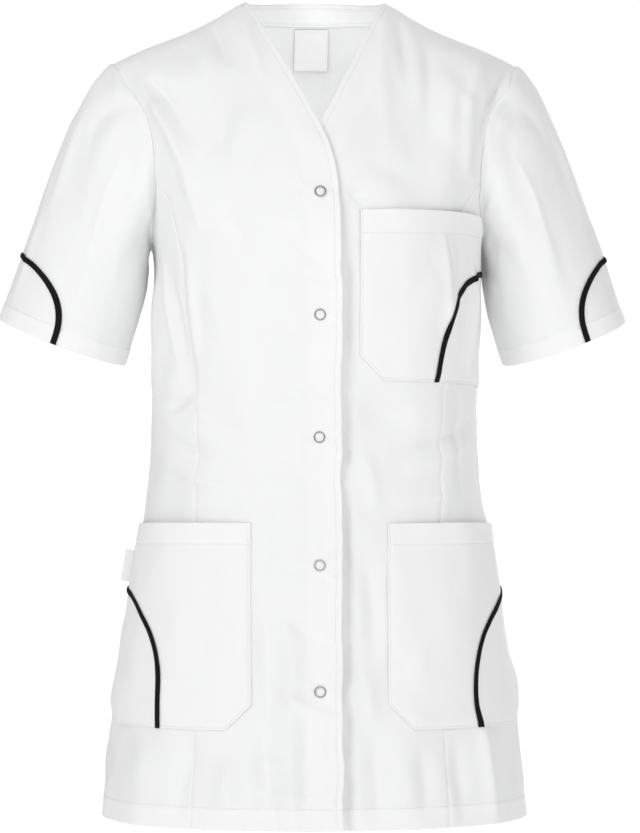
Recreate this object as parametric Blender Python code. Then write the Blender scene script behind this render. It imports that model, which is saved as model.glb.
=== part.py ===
"""A short-sleeved V-neck medical tunic, hollow, in the form it has when it is worn.

The origin lies midway between the two points where the neck meets the shoulders. The front faces -Y,
+Z is up, and the wearer's left side is +X. Sizes are in metres.

The body is a pair of half shells, FRONT and BACK, that meet at the side seams. A place on a half is
given by its girth, the length of cloth from the centre line (the wearer's left is positive), and its
level: the height below the underarm, and above it a rise from UNDERARM to 0 at the shoulder line.
Every piece of cloth that lies on the body is made from the body's points, moved out along the same
normals, so the pieces lie on each other without touching.
"""

import math
from collections import namedtuple
from functools import lru_cache

import bmesh
import bpy
import numpy as np
from mathutils import Vector

COLLECTION = "medical_tunic"

WALL = 0.0012  # thickness of the cloth, with its seams and turnings
LABEL_WALL = 0.001
SEAM = 0.0003  # open gap between two pieces that are sewn edge to edge
LAY = 0.0008  # gap below cloth that lies on other cloth
MARGIN = 0.0012  # from a pocket's outer edge to the side seam

UNDERARM = -0.205
HEM = -0.698
FULLNESS = 2.3  # exponent of the body's rounded cross-section
FRONT_ROLL, FRONT_ROLL_TIP = 1.55, 2.15  # exponents of the shoulder's curve, at the neck and tip
BACK_ROLL, BACK_ROLL_TIP, BACK_ROLL_NECKLINE = 3.0, 2.2, 7.0
STEP = 0.001  # step of the finite differences that give a surface its normals

NECK_WIDTH = 0.089  # half width of the neck at the shoulder seam
NECK_DEPTH = 0.085  # from the shoulder line back to the centre of the neckline
NECK_RISE = 0.011  # height of the centre of the back neckline
NECK_EASE = 0.003  # rounds the corner between the neckline and the shoulder seam
PEAK = (0.0616, 0.0002, 0.016)  # where the front's edge meets the back collar
COLLAR_BACK = (0.078, 0.031)  # depth and height of the collar's upper edge at the centre back

TOP_LIFT = 0.0038  # how far the upper front stands out from the lower one at the placket
LIFT_INNER, LIFT_OUTER = 0.015, 0.045  # girths where that lift is whole, and where it is gone
LIFT_LOW, LIFT_HIGH = -0.115, -0.055  # levels where it is whole, and where it is gone

FRONT_COLUMNS, SIDE_COLUMNS = 11, 8
NECK_COLUMNS, SHOULDER_COLUMNS = 13, 4  # of the back, between and beyond the neck's two corners

PRINCESS_TOP = -0.1466  # level where the princess seam reaches the armhole
POINT_CUT = 0.0012  # cut off the side front's upper point

SNAP_LEVELS = (-0.1746, -0.2723, -0.3738, -0.4814, -0.5849)
ROWS_END = -0.686  # where the rows between the snaps' levels would go on to
SNAP_RADIUS = 0.0041  # of the ring's centre line
SNAP_WIRE = 0.00065
COUPLING_RADIUS = 0.0036
SNAP_GAP = 0.0005  # between a snap's pieces and the cloth

CUFF_CENTRE = Vector((0.2212, -0.002, -0.2869))
CUFF_OUT = Vector((0.938, 0.0, 0.347))
SLEEVE_UP = Vector((-0.347, 0.0, 0.938))
CUFF_HALF_WIDTH = 0.0584
CUFF_HALF_DEPTH = 0.049
CUFF_DIP = 0.0075  # how much lower the cuff lies in front, and higher behind
HEADING_DROP, HEADING_DROP_TIP = 0.43, 0.28  # slope of a sleeve's first stretch, low and at the tip
HEADING_SPREAD = 0.12
SLEEVE_GAP = 0.0005
REACH, REACH_TIP = 0.004, 0.024  # length of that stretch at the underarm, and what the tip adds
FALL, FALL_TIP = 0.075, 0.055  # length of its last stretch at the underarm, and what the tip adds
CUFF_TWIST = {-1: 0.08, 1: -0.08}  # turn of the cuff towards the front, wearer's right and left
ARCH_HEIGHT = 0.0615
ARCH_FULLNESS = 2.6  # 2 would make the arch an ellipse
ARCH_ANGLE = 1.440  # half the angle that the arch takes round the sleeve
ARCH_STEPS = (0.0, 0.2, 0.4, 0.58, 0.74, 0.87, 0.96, 1.0)
UNDER_STEPS = 7
SLEEVE_ROWS = 11
PIPING = 0.0048  # width of the piping
CUFF_RADIUS = 0.054  # of the sleeve where its piping lies, for turning widths into angles
PIPING_WALL = 0.001

LABEL_WIDTH, LABEL_DROP, LABEL_TOP = 0.032, 0.034, -0.0015
LABEL_LAY = 0.0009  # gap behind the label's upper edge
LABEL_HANG = 0.0015  # how far its lower edge hangs off the back
TAB_OUT, TAB_TOP, TAB_BOTTOM = 0.009, -0.470, -0.497
TAB_IN, TAB_WALL = 0.004, 0.0014  # its distance from the side seam, and its two layers

WHITE = ((0.86, 0.87, 0.88), 0.85, 0.0)
BLACK = ((0.012, 0.012, 0.014), 0.7, 0.0)
SILVER = ((0.62, 0.63, 0.65), 0.25, 1.0)

Section = namedtuple("Section", "level front_width back_width front_depth back_depth")
BODY = [
    Section(-0.700, 0.1850, 0.1850, 0.140, 0.127),
    Section(-0.650, 0.1807, 0.1807, 0.137, 0.125),
    Section(-0.600, 0.1748, 0.1748, 0.133, 0.122),
    Section(-0.545, 0.1658, 0.1658, 0.128, 0.118),
    Section(-0.490, 0.1580, 0.1580, 0.121, 0.110),
    Section(-0.440, 0.1496, 0.1496, 0.115, 0.102),
    Section(-0.400, 0.1450, 0.1450, 0.112, 0.097),
    Section(-0.350, 0.1430, 0.1430, 0.115, 0.096),
    Section(-0.280, 0.1426, 0.1426, 0.128, 0.101),
    Section(-0.205, 0.1430, 0.1430, 0.138, 0.108),
    Section(-0.165, 0.1520, 0.1650, 0.139, 0.110),
    Section(-0.120, 0.1660, 0.1790, 0.137, 0.110),
    Section(-0.060, 0.1840, 0.1920, 0.135, 0.108),
    Section(0.000, 0.2000, 0.2000, 0.135, 0.106),
]

Ridge = namedtuple("Ridge", "across front_height back_height")
SHOULDER = [
    Ridge(0.0000, 0.0200, 0.0110),
    Ridge(0.0300, 0.0196, 0.0098),
    Ridge(0.0616, 0.0160, 0.0057),
    Ridge(0.0890, 0.0000, 0.0000),
    Ridge(0.1050, -0.0088, -0.0088),
    Ridge(0.1245, -0.0176, -0.0176),
    Ridge(0.1465, -0.0264, -0.0264),
    Ridge(0.1660, -0.0352, -0.0352),
    Ridge(0.1835, -0.0440, -0.0440),
    Ridge(0.2100, -0.0600, -0.0600),
]

Edge = namedtuple("Edge", "level across")
FRONT_EDGE = [
    Edge(-0.700, -0.0190),
    Edge(-0.450, -0.0182),
    Edge(-0.250, -0.0175),
    Edge(-0.185, -0.0165),
    Edge(-0.158, -0.0138),
    Edge(-0.125, -0.0035),
    Edge(-0.100, 0.0100),
    Edge(-0.050, 0.0358),
    Edge(0.000, 0.0616),
]
PRINCESS = [
    Edge(-0.700, 0.1080),
    Edge(-0.610, 0.1040),
    Edge(-0.520, 0.1030),
    Edge(-0.420, 0.1035),
    Edge(-0.340, 0.1050),
    Edge(-0.280, 0.1095),
    Edge(-0.230, 0.1155),
    Edge(-0.195, 0.1205),
    Edge(-0.170, 0.1275),
    Edge(PRINCESS_TOP, 0.1402),
]
FRONT_ARMHOLE = [
    Edge(-0.205, 0.1430),
    Edge(-0.188, 0.1420),
    Edge(-0.152, 0.1400),
    Edge(-0.118, 0.1410),
    Edge(-0.092, 0.1445),
    Edge(-0.066, 0.1530),
    Edge(-0.031, 0.1690),
    Edge(0.000, 0.1780),
]
BACK_ARMHOLE = [
    Edge(-0.205, 0.1430),
    Edge(-0.188, 0.1465),
    Edge(-0.152, 0.1550),
    Edge(-0.118, 0.1600),
    Edge(-0.092, 0.1622),
    Edge(-0.066, 0.1655),
    Edge(-0.031, 0.1720),
    Edge(0.000, 0.1780),
]

Half = namedtuple("Half", "facing width depth height")
FRONT = Half(-1, "front_width", "front_depth", "front_height")
BACK = Half(1, "back_width", "back_depth", "back_height")

Fold = namedtuple("Fold", "half across_a level_a across_b level_b width height")
FOLDS = [
    Fold(FRONT, -0.1330, -0.076, -0.1080, -0.158, 0.0090, 0.0032),
    Fold(FRONT, -0.1180, -0.066, -0.0880, -0.120, 0.0100, -0.0018),
    Fold(FRONT, 0.1280, -0.074, 0.1270, -0.136, 0.0080, 0.0030),
    Fold(FRONT, 0.1120, -0.060, 0.0900, -0.130, 0.0110, 0.0016),
    Fold(FRONT, -0.1200, -0.262, -0.1120, -0.322, 0.0090, -0.0020),
    Fold(FRONT, 0.1200, -0.345, 0.1080, -0.385, 0.0100, -0.0018),
    Fold(FRONT, -0.0780, -0.655, -0.0820, -0.705, 0.0170, 0.0030),
    Fold(FRONT, 0.0700, -0.640, 0.0740, -0.705, 0.0180, 0.0026),
    Fold(FRONT, 0.1420, -0.630, 0.1500, -0.705, 0.0140, 0.0036),
    Fold(FRONT, -0.1460, -0.640, -0.1500, -0.705, 0.0140, 0.0028),
    Fold(BACK, -0.0700, -0.320, -0.0740, -0.470, 0.0120, -0.0026),
    Fold(BACK, 0.0720, -0.315, 0.0730, -0.480, 0.0120, -0.0026),
    Fold(BACK, -0.1250, -0.090, -0.0900, -0.180, 0.0120, 0.0030),
    Fold(BACK, 0.1300, -0.080, 0.0940, -0.165, 0.0110, 0.0032),
    Fold(BACK, -0.0480, -0.560, -0.0560, -0.705, 0.0190, 0.0040),
    Fold(BACK, 0.0300, -0.600, 0.0330, -0.705, 0.0170, 0.0032),
    Fold(BACK, 0.1100, -0.570, 0.1180, -0.705, 0.0180, 0.0038),
    Fold(BACK, -0.1220, -0.620, -0.1300, -0.705, 0.0160, 0.0030),
]

SleeveFold = namedtuple("SleeveFold", "turn_a along_a turn_b along_b width height")
SLEEVE_FOLDS = [
    SleeveFold(0.95, 0.06, 1.25, 0.52, 0.20, 0.0026),
    SleeveFold(1.90, 0.20, 1.60, 0.70, 0.24, 0.0022),
    SleeveFold(5.10, 0.10, 4.90, 0.60, 0.22, 0.0028),
    SleeveFold(4.10, 0.25, 4.40, 0.75, 0.22, 0.0020),
]

Pocket = namedtuple(
    "Pocket", "name side inner top curve_top chamfer bottom reach fullness belly corner"
)
POCKETS = [
    Pocket("chest_pocket", 1, 0.0335, -0.1870, -0.2315, 0.021, -0.3265, 0.1095, 3.0, 0.0012, 0.052),
    Pocket("pocket_right", -1, 0.0570, -0.446, -0.500, 0.021, -0.6170, 0.112, 2.1, 0.0022, 0.0),
    Pocket("pocket_left", 1, 0.0570, -0.446, -0.500, 0.021, -0.6170, 0.112, 2.1, 0.0022, 0.0),
]
CURVE_STEPS = (0.15, 0.36, 0.56, 0.74, 0.88, 0.97)  # shares of a pocket curve's reach
POCKET_COLUMNS, INSET_COLUMNS = 16, 10


# ---------------------------------------------------------------- curves through the tables


def read_curve(rows, column, at):
    """Reads the smooth curve through one column of a table, at values of its first column."""
    keys = np.array([row[0] for row in rows])
    values = np.array([getattr(row, column) for row in rows])
    slopes = np.gradient(values, keys)
    at = np.clip(at, keys[0], keys[-1])
    left = np.clip(np.searchsorted(keys, at) - 1, 0, len(keys) - 2)
    span = keys[left + 1] - keys[left]
    part = (at - keys[left]) / span
    rest = 1 - part
    start = rest**2 * ((1 + 2 * part) * values[left] + part * span * slopes[left])
    end = part**2 * ((1 + 2 * rest) * values[left + 1] - rest * span * slopes[left + 1])
    return start + end


def smooth(share):
    """Eases a share from 0 to 1 and holds it there."""
    share = np.clip(share, 0.0, 1.0)
    return share * share * (3 - 2 * share)


# ---------------------------------------------------------------- the body's surface


@lru_cache(maxsize=None)
def section(half, level):
    """Gives the turns, widths and girths along half a cross-section, from its centre line."""
    turn = np.linspace(0.0, 0.58 * math.pi, 320)
    width = read_curve(BODY, half.width, level)
    depth = read_curve(BODY, half.depth, level)
    power = 2 / FULLNESS
    across = width * np.sin(turn) ** power
    away = depth * np.sign(np.cos(turn)) * np.abs(np.cos(turn)) ** power
    steps = np.hypot(np.diff(across), np.diff(away))
    return turn, across, np.concatenate([[0.0], np.cumsum(steps)])


def side_girth(half, level):
    """Gives the girth from the centre line to the side seam, at each level."""
    return np.array([np.interp(math.pi / 2, *section(half, v)[::2]) for v in np.atleast_1d(level)])


@lru_cache(maxsize=None)
def girth_at(half, across, level):
    """Gives the girth of a place whose distance from the middle plane is known."""
    turn, widths, girths = section(half, level)
    quarter = turn <= math.pi / 2
    return float(np.interp(abs(across), widths[quarter], girths[quarter]) * np.sign(across))


def turn_at(half, girth, level):
    """Gives the turn round the cross-section that belongs to each girth."""
    turns = np.empty(girth.shape)
    for one_level in np.unique(level).tolist():
        chosen = level == one_level
        turn, _, girths = section(half, one_level)
        turns[chosen] = np.interp(np.abs(girth[chosen]), girths, turn) * np.sign(girth[chosen])
    return turns


def neck_line(across):
    """Gives the depth of the shoulder line, which bends back into the neckline at the neck."""
    arch = NECK_DEPTH * (1 - (across / NECK_WIDTH) ** 2)
    return 0.5 * (arch + np.sqrt(arch**2 + NECK_EASE**2))


def bare_point(half, girth, level):
    """Gives points of the body's outer surface without its folds."""
    turn = turn_at(half, girth, level)
    power = 2 / FULLNESS
    width = read_curve(BODY, half.width, level)
    depth = read_curve(BODY, half.depth, level)
    across = width * np.sign(turn) * np.abs(np.sin(turn)) ** power
    away = depth * np.sign(np.cos(turn)) * np.abs(np.cos(turn)) ** power
    out = np.abs(across)
    rise = np.clip(1 - level / UNDERARM, 0.0, 1.0)
    top = read_curve(SHOULDER, half.height, out)
    if half is FRONT:
        roll = FRONT_ROLL + (FRONT_ROLL_TIP - FRONT_ROLL) * smooth((out - 0.06) / 0.12)
        keep = (1 - rise**roll) ** (1 / roll)
        top_away = -SEAM / 2
    else:
        roll = BACK_ROLL + (BACK_ROLL_TIP - BACK_ROLL) * smooth((out - 0.06) / 0.11)
        at_neck = 1 - smooth((out - 0.07) / 0.04)
        keep = (1 - rise**roll) ** (1 / roll) * (1 - at_neck)
        keep += (1 - rise**BACK_ROLL_NECKLINE) * at_neck
        top_away = neck_line(out) + SEAM / 2
    depth_now = half.facing * away * keep + top_away * (1 - keep)
    height = np.where(rise > 0, UNDERARM + rise * (top - UNDERARM), level)
    return np.stack([across, depth_now, height], axis=-1)


def body_normal(half, girth, level):
    """Gives the outward directions of the body's surface."""
    round_it = bare_point(half, girth + STEP, level) - bare_point(half, girth - STEP, level)
    upward = bare_point(half, girth, level + STEP) - bare_point(half, girth, level - STEP)
    normal = -half.facing * np.cross(round_it, upward)
    return normal / np.linalg.norm(normal, axis=-1, keepdims=True)


def segment_distance(u, v, u_a, v_a, u_b, v_b):
    """Gives the distance from points to the segment between two places, in a flat plane."""
    along_u, along_v = u_b - u_a, v_b - v_a
    share = ((u - u_a) * along_u + (v - v_a) * along_v) / (along_u**2 + along_v**2)
    share = np.clip(share, 0.0, 1.0)
    return np.hypot(u - u_a - share * along_u, v - v_a - share * along_v)


def body_folds(half, girth, level):
    """Adds up the folds of one half: ridges stand out, troughs lie in."""
    total = np.zeros(girth.shape)
    for fold in FOLDS:
        if fold.half is half:
            girth_a = girth_at(half, fold.across_a, fold.level_a)
            girth_b = girth_at(half, fold.across_b, fold.level_b)
            gap = segment_distance(girth, level, girth_a, fold.level_a, girth_b, fold.level_b)
            total += fold.height * np.exp(-((gap / fold.width) ** 2))
    return total


def body_cloth(half, girth, level, height):
    """Gives points at a height above the body's folded surface."""
    girth, level = np.broadcast_arrays(np.asarray(girth, float), np.asarray(level, float))
    out = body_folds(half, girth, level) + height
    return bare_point(half, girth, level) + body_normal(half, girth, level) * out[..., None]


def girth_grid(side, levels, edge_a, edge_b, shares):
    """Spreads columns between two edges, which are functions from level to girth."""
    starts = np.array([edge_a(level) for level in levels])
    ends = np.array([edge_b(level) for level in levels])
    shares = np.linspace(0.0, 1.0, shares) if isinstance(shares, int) else shares
    girth = side * (starts[:, None] * (1 - shares) + ends[:, None] * shares)
    return girth, np.repeat(np.array(levels)[:, None], len(shares), axis=1)


# ---------------------------------------------------------------- making objects


def dress(item, look):
    """Gives an object its own material."""
    colour, roughness, metallic = look
    material = bpy.data.materials.new(item.name + "_finish")
    material.use_nodes = True
    shader = material.node_tree.nodes["Principled BSDF"]
    shader.inputs["Base Color"].default_value = (*colour, 1.0)
    shader.inputs["Roughness"].default_value = roughness
    shader.inputs["Metallic"].default_value = metallic
    material.diffuse_color = (*colour, 1.0)
    item.data.materials.clear()
    item.data.materials.append(material)


def cloth_wall(name, outer, inner, look=WHITE, tube=False):
    """Makes the closed wall between two grids of points; a tube's columns close on themselves."""
    rows, columns = outer.shape[:2]
    points = np.concatenate([outer.reshape(-1, 3), inner.reshape(-1, 3)])
    behind = rows * columns
    faces = []
    for row in range(rows - 1):
        for column in range(columns if tube else columns - 1):
            here = row * columns + column
            beside = row * columns + (column + 1) % columns
            faces.append((here, beside, beside + columns, here + columns))
            faces.append(tuple(behind + corner for corner in reversed(faces[-1])))
    rim = [[row * columns + column for column in range(columns)] for row in (0, rows - 1)]
    if tube:
        rim = [line + line[:1] for line in rim]
    else:
        rim += [[row * columns + column for row in range(rows)] for column in (0, columns - 1)]
    for line in rim:
        faces += [(a, b, b + behind, a + behind) for a, b in zip(line, line[1:])]
    mesh = bpy.data.meshes.new(name)
    mesh.from_pydata(points.tolist(), [], faces)
    shape = bmesh.new()
    shape.from_mesh(mesh)
    bmesh.ops.recalc_face_normals(shape, faces=shape.faces)
    shape.to_mesh(mesh)
    shape.free()
    mesh.shade_smooth()
    mesh.set_sharp_from_angle(angle=math.radians(50))
    item = bpy.data.objects.new(name, mesh)
    bpy.data.collections[COLLECTION].objects.link(item)
    dress(item, look)
    return item


def body_piece(name, half, girth, level, height=0.0, wall=WALL, look=WHITE):
    """Makes a piece of cloth that lies at a height above the body's surface."""
    outer = body_cloth(half, girth, level, height)
    inner = body_cloth(half, girth, level, height - wall)
    return cloth_wall(name, outer, inner, look)


def adopt(name, look):
    """Names the primitive that was just added, moves it to the collection and dresses it."""
    item = bpy.context.object
    item.name = item.data.name = name
    for collection in item.users_collection:
        collection.objects.unlink(item)
    bpy.data.collections[COLLECTION].objects.link(item)
    item.data.shade_smooth()
    item.data.set_sharp_from_angle(angle=math.radians(50))
    dress(item, look)
    return item


# ---------------------------------------------------------------- the body's panels


def sleeve_turns():
    """Gives the turns of a sleeve's columns from the shoulder tip to the underarm."""
    arch = [ARCH_ANGLE * share for share in ARCH_STEPS]
    under = np.linspace(ARCH_ANGLE, math.pi, UNDER_STEPS + 1)[1:]
    return arch + list(under)


def armhole_level(turn):
    """Gives the level of the armhole's point at a turn: the tip is 0, the underarm is pi."""
    return UNDERARM * (1 - math.cos(turn)) / 2


def upper_levels():
    """Gives the levels above the underarm where the sleeve's columns meet the armhole."""
    return sorted(armhole_level(turn) for turn in sleeve_turns())


def lower_levels():
    """Gives the levels from the hem to just below the underarm, with a row at each lower snap."""
    spans = zip(SNAP_LEVELS[1:], (*SNAP_LEVELS[2:], ROWS_END))
    regular = [upper + (lower - upper) * step / 3 for upper, lower in spans for step in range(3)]
    return sorted([HEM, -0.678, -0.240, -0.220, *regular])


def front_inner(level):
    """Gives the girth of a front's edge at the neck and the placket."""
    return girth_at(FRONT, float(read_curve(FRONT_EDGE, "across", level)), level)


def princess(level):
    """Gives the girth of the princess seam."""
    return girth_at(FRONT, float(read_curve(PRINCESS, "across", level)), level)


def front_outer(level):
    """Gives the girth of a front's outer edge: the armhole, and below it the princess seam."""
    if level > PRINCESS_TOP:
        return girth_at(FRONT, float(read_curve(FRONT_ARMHOLE, "across", level)), level)
    return princess(level) - SEAM / 2


def side_outer(level):
    """Gives the girth of a side front's outer edge: the armhole, and below it the side seam."""
    if level > UNDERARM:
        return girth_at(FRONT, float(read_curve(FRONT_ARMHOLE, "across", level)), level)
    return float(side_girth(FRONT, level)[0]) - SEAM / 2


def back_outer(level):
    """Gives the girth of the back's edge: the armhole, and below it the side seam."""
    if level > UNDERARM:
        return girth_at(BACK, float(read_curve(BACK_ARMHOLE, "across", level)), level)
    return float(side_girth(BACK, level)[0]) - SEAM / 2


def placket_lift(girth, level):
    """Gives how far the upper front stands out, from its girth on its own side and its level."""
    near = smooth((LIFT_OUTER - girth) / (LIFT_OUTER - LIFT_INNER))
    below_neck = smooth((LIFT_HIGH - level) / (LIFT_HIGH - LIFT_LOW))
    return TOP_LIFT * near * below_neck


def make_fronts():
    """Makes the two fronts; the wearer's right one lies on top at the placket."""
    levels = lower_levels() + upper_levels()
    for side, name in ((-1, "front_right"), (1, "front_left")):
        girth, level = girth_grid(side, levels, front_inner, front_outer, FRONT_COLUMNS)
        height = placket_lift(side * girth, level) if side < 0 else 0.0
        body_piece(name, FRONT, girth, level, height)


def make_side_fronts():
    """Makes the two side fronts, which end in a point where the princess seam meets the armhole."""
    top = PRINCESS_TOP - POINT_CUT
    kept = [level for level in upper_levels() if level < top - 3 * POINT_CUT]
    levels = lower_levels() + kept + [top]
    for side, name in ((-1, "side_front_right"), (1, "side_front_left")):
        girth, level = girth_grid(
            side, levels, lambda v: princess(v) + SEAM / 2, side_outer, SIDE_COLUMNS
        )
        body_piece(name, FRONT, girth, level)


def back_columns():
    """Gives the back's columns as shares of its half girth; the middle ones end at the neckline."""
    neck = girth_at(BACK, NECK_WIDTH, 0.0) / back_outer(0.0)
    middle = np.linspace(-neck, neck, NECK_COLUMNS)
    outside = np.linspace(neck, 1.0, SHOULDER_COLUMNS + 1)[1:]
    return np.concatenate([-outside[::-1], middle, outside])


def make_back():
    """Makes the back in one piece, from one side seam to the other."""
    levels = lower_levels() + upper_levels()
    shares = (1 + back_columns()) / 2
    girth, level = girth_grid(1, levels, lambda v: -back_outer(v), back_outer, shares)
    body_piece("back", BACK, girth, level)


def make_back_collar():
    """Makes the standing band between the back neckline and the line between the two peaks."""
    neck = back_columns()[SHOULDER_COLUMNS:-SHOULDER_COLUMNS]
    low = body_cloth(BACK, neck * back_outer(0.0), 0.0, 0.0) + [0.0, 0.0, SEAM]
    low[[0, -1], 1] = PEAK[1]
    share = low[:, 0] / NECK_WIDTH
    arch = np.maximum(1 - share**2, 0.0)
    top_away = PEAK[1] + (COLLAR_BACK[0] - PEAK[1]) * arch**0.75
    top_height = PEAK[2] + (COLLAR_BACK[1] - PEAK[2]) * arch
    top = np.stack([PEAK[0] * share, top_away, top_height], axis=-1)
    rows = np.linspace(0.0, 1.0, 4)[:, None, None]
    outer = low * (1 - rows) + top * rows
    along = np.gradient(outer, axis=1)
    upward = np.gradient(outer, axis=0)
    normal = np.cross(upward, along)
    normal[:, [0, -1], 1] = 0.0
    normal /= np.linalg.norm(normal, axis=-1, keepdims=True)
    cloth_wall("back_collar", outer, outer - WALL * normal)


# ---------------------------------------------------------------- the sleeves


def armhole_point(side, turn):
    """Gives the armhole's point at a turn from the tip by the front to the underarm and back."""
    turn = turn % (2 * math.pi)
    level = armhole_level(turn)
    half, table = (FRONT, FRONT_ARMHOLE) if turn <= math.pi else (BACK, BACK_ARMHOLE)
    girth = girth_at(half, float(read_curve(table, "across", level)), level)
    return Vector(body_cloth(half, side * girth, level, 0.0))


@lru_cache(maxsize=None)
def sleeve_column(side, turn):
    """Gives the four control points of a sleeve's lengthwise curve at a turn."""
    over = (1 + math.cos(turn)) / 2
    drop = HEADING_DROP + (HEADING_DROP_TIP - HEADING_DROP) * over
    heading = Vector((1.0, -HEADING_SPREAD * math.sin(turn), -drop)).normalized()
    heading.x *= side
    start = armhole_point(side, turn) + SLEEVE_GAP * heading
    cuff_turn = turn + CUFF_TWIST[side]
    end = CUFF_CENTRE + CUFF_HALF_WIDTH * math.cos(cuff_turn) * CUFF_OUT
    end.y -= CUFF_HALF_DEPTH * math.sin(cuff_turn)
    end.z -= CUFF_DIP * math.sin(cuff_turn)
    last = end + (FALL + FALL_TIP * over) * SLEEVE_UP
    for point in (end, last):
        point.x *= side
    return start, start + (REACH + REACH_TIP * math.sqrt(over)) * heading, last, end


def sleeve_point(side, turn, along):
    """Gives a point of the sleeve's outer surface, along from 0 at the armhole to 1 at the cuff."""
    start, first, last, end = sleeve_column(side, turn)
    rest = 1 - along
    return (
        start * rest**3 + first * 3 * rest**2 * along + last * 3 * rest * along**2 + end * along**3
    )


def sleeve_cloth(side, turn, along, height):
    """Gives a point at a height above the sleeve's folded surface."""
    step = 0.02
    across = sleeve_point(side, turn + step, along) - sleeve_point(side, turn - step, along)
    low, high = max(along - step, 0.0), min(along + step, 1.0)
    down = sleeve_point(side, turn, high) - sleeve_point(side, turn, low)
    normal = (side * across.cross(down)).normalized()
    folds = 0.0
    for fold in SLEEVE_FOLDS:
        gap = segment_distance(turn, along, fold.turn_a, fold.along_a, fold.turn_b, fold.along_b)
        folds += fold.height * math.exp(-((gap / fold.width) ** 2))
    folds *= float(smooth(along / 0.12))
    return sleeve_point(side, turn, along) + normal * (folds + height)


@lru_cache(maxsize=None)
def column_lengths(side, turn):
    """Gives places along a sleeve's column and their lengths of cloth from the cuff."""
    places = np.linspace(1.0, 0.0, 60)
    line = np.array([sleeve_point(side, turn, place) for place in places])
    steps = np.linalg.norm(np.diff(line, axis=0), axis=1)
    return places, np.concatenate([[0.0], np.cumsum(steps)])


def along_from_cuff(side, turn, distance):
    """Gives the place along a sleeve's column that is a length of cloth away from the cuff."""
    places, lengths = column_lengths(side, turn)
    return float(np.interp(distance, lengths, places))


def arch_distance(share, grow=0.0):
    """Gives the arch's height at a share of its half angle."""
    return (ARCH_HEIGHT + grow) * max(0.0, 1 - share**ARCH_FULLNESS) ** (1 / ARCH_FULLNESS)


def sleeve_grid(places, side, height):
    """Turns a grid of turn and along pairs into points."""
    return np.array([[sleeve_cloth(side, turn, along, height) for turn, along in row] for row in places])


def make_sleeve(side, name):
    """Makes a sleeve whose lower edge leaves an arch open for its inset."""
    half_turns = sleeve_turns()
    turns = half_turns + [-turn for turn in reversed(half_turns[1:-1])]
    shares = np.linspace(0.0, 1.0, SLEEVE_ROWS) ** 1.25
    ends = []
    for turn in turns:
        share = abs(turn) / ARCH_ANGLE
        distance = arch_distance(share, SEAM) if share < 0.999 else 0.0
        ends.append(along_from_cuff(side, turn, distance))
    places = [[(turn, end * share) for turn, end in zip(turns, ends)] for share in shares]
    outer = sleeve_grid(places, side, 0.0)
    inner = sleeve_grid(places, side, -WALL)
    cloth_wall(name, outer, inner, tube=True)


def make_sleeve_inset(side, name):
    """Makes the arched inset over the cuff, with rows where the sleeve's own edge has its points."""
    shares = [share for share in ARCH_STEPS if share > 0] + [0.1]
    places = []
    for share in sorted(shares, reverse=True):
        distance = arch_distance(share)
        half_turn = share * ARCH_ANGLE - 0.006
        row = []
        for turn in np.linspace(-half_turn, half_turn, 9):
            row.append((turn, along_from_cuff(side, turn, distance)))
        places.append(row)
    outer = sleeve_grid(places, side, 0.0)
    inner = sleeve_grid(places, side, -WALL)
    cloth_wall(name, outer, inner)


def make_sleeve_piping(side, name):
    """Makes the flat strip that follows the arch on the inset's side."""
    lines = []
    for inset in (0.0, PIPING):
        line = []
        for angle in np.linspace(0.0, math.pi, 25):
            over, up = (math.copysign(abs(part) ** (2 / ARCH_FULLNESS), part) for part in (math.cos(angle), math.sin(angle)))
            turn = (ARCH_ANGLE - inset / CUFF_RADIUS) * over
            distance = (ARCH_HEIGHT - inset) * max(up, 0.0)
            line.append((turn, along_from_cuff(side, turn, distance)))
        lines.append(line)
    outer = sleeve_grid(lines, side, LAY + PIPING_WALL)
    inner = sleeve_grid(lines, side, LAY)
    cloth_wall(name, outer, inner, BLACK)


def make_sleeves():
    """Makes both sleeves with their insets and piping."""
    for side, word in ((-1, "right"), (1, "left")):
        make_sleeve(side, "sleeve_" + word)
        make_sleeve_inset(side, "sleeve_inset_" + word)
        make_sleeve_piping(side, "sleeve_piping_" + word)


# ---------------------------------------------------------------- the pockets


def pocket_outer(pocket, level):
    """Gives the girth of a pocket's outer edge, beside the side seam but for its upper corner."""
    above = max(level - pocket.curve_top, 0.0) / (pocket.top - pocket.curve_top)
    return float(side_girth(FRONT, min(level, UNDERARM))[0]) - MARGIN - pocket.corner * above


def curve_level(pocket, share):
    """Gives the level of a pocket's curve at a share of its reach from the outer edge."""
    drop = (1 - share**pocket.fullness) ** (1 / pocket.fullness)
    return pocket.bottom + (pocket.curve_top - pocket.bottom) * drop


def curve_girth(pocket, level):
    """Gives the girth of a pocket's curve, which starts from the outer edge and ends at the bottom."""
    drop = (level - pocket.bottom) / (pocket.curve_top - pocket.bottom)
    if drop >= 1:
        return pocket_outer(pocket, level)
    share = (1 - max(drop, 0.0) ** pocket.fullness) ** (1 / pocket.fullness)
    return pocket_outer(pocket, level) - pocket.reach * share


def pocket_inner(pocket, level):
    """Gives the girth of a pocket's inner edge, with its bevelled lower corner."""
    cut = max(0.0, pocket.bottom + pocket.chamfer - level)
    return pocket.inner + cut


def pocket_height(pocket, girth, level):
    """Gives the height of a pocket's cloth: it bellies out a little and gapes at the top."""
    inner = pocket.inner
    outer = np.array([[pocket_outer(pocket, float(v)) for v in row] for row in level])
    across = np.clip((np.abs(girth) - inner) / (outer - inner), 0.0, 1.0)
    up = (level - pocket.bottom) / (pocket.top - pocket.bottom)
    belly = np.sin(math.pi * across) * np.sin(0.8 * math.pi * np.clip(up, 0.0, 1.0))
    return LAY + WALL + pocket.belly * belly


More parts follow.
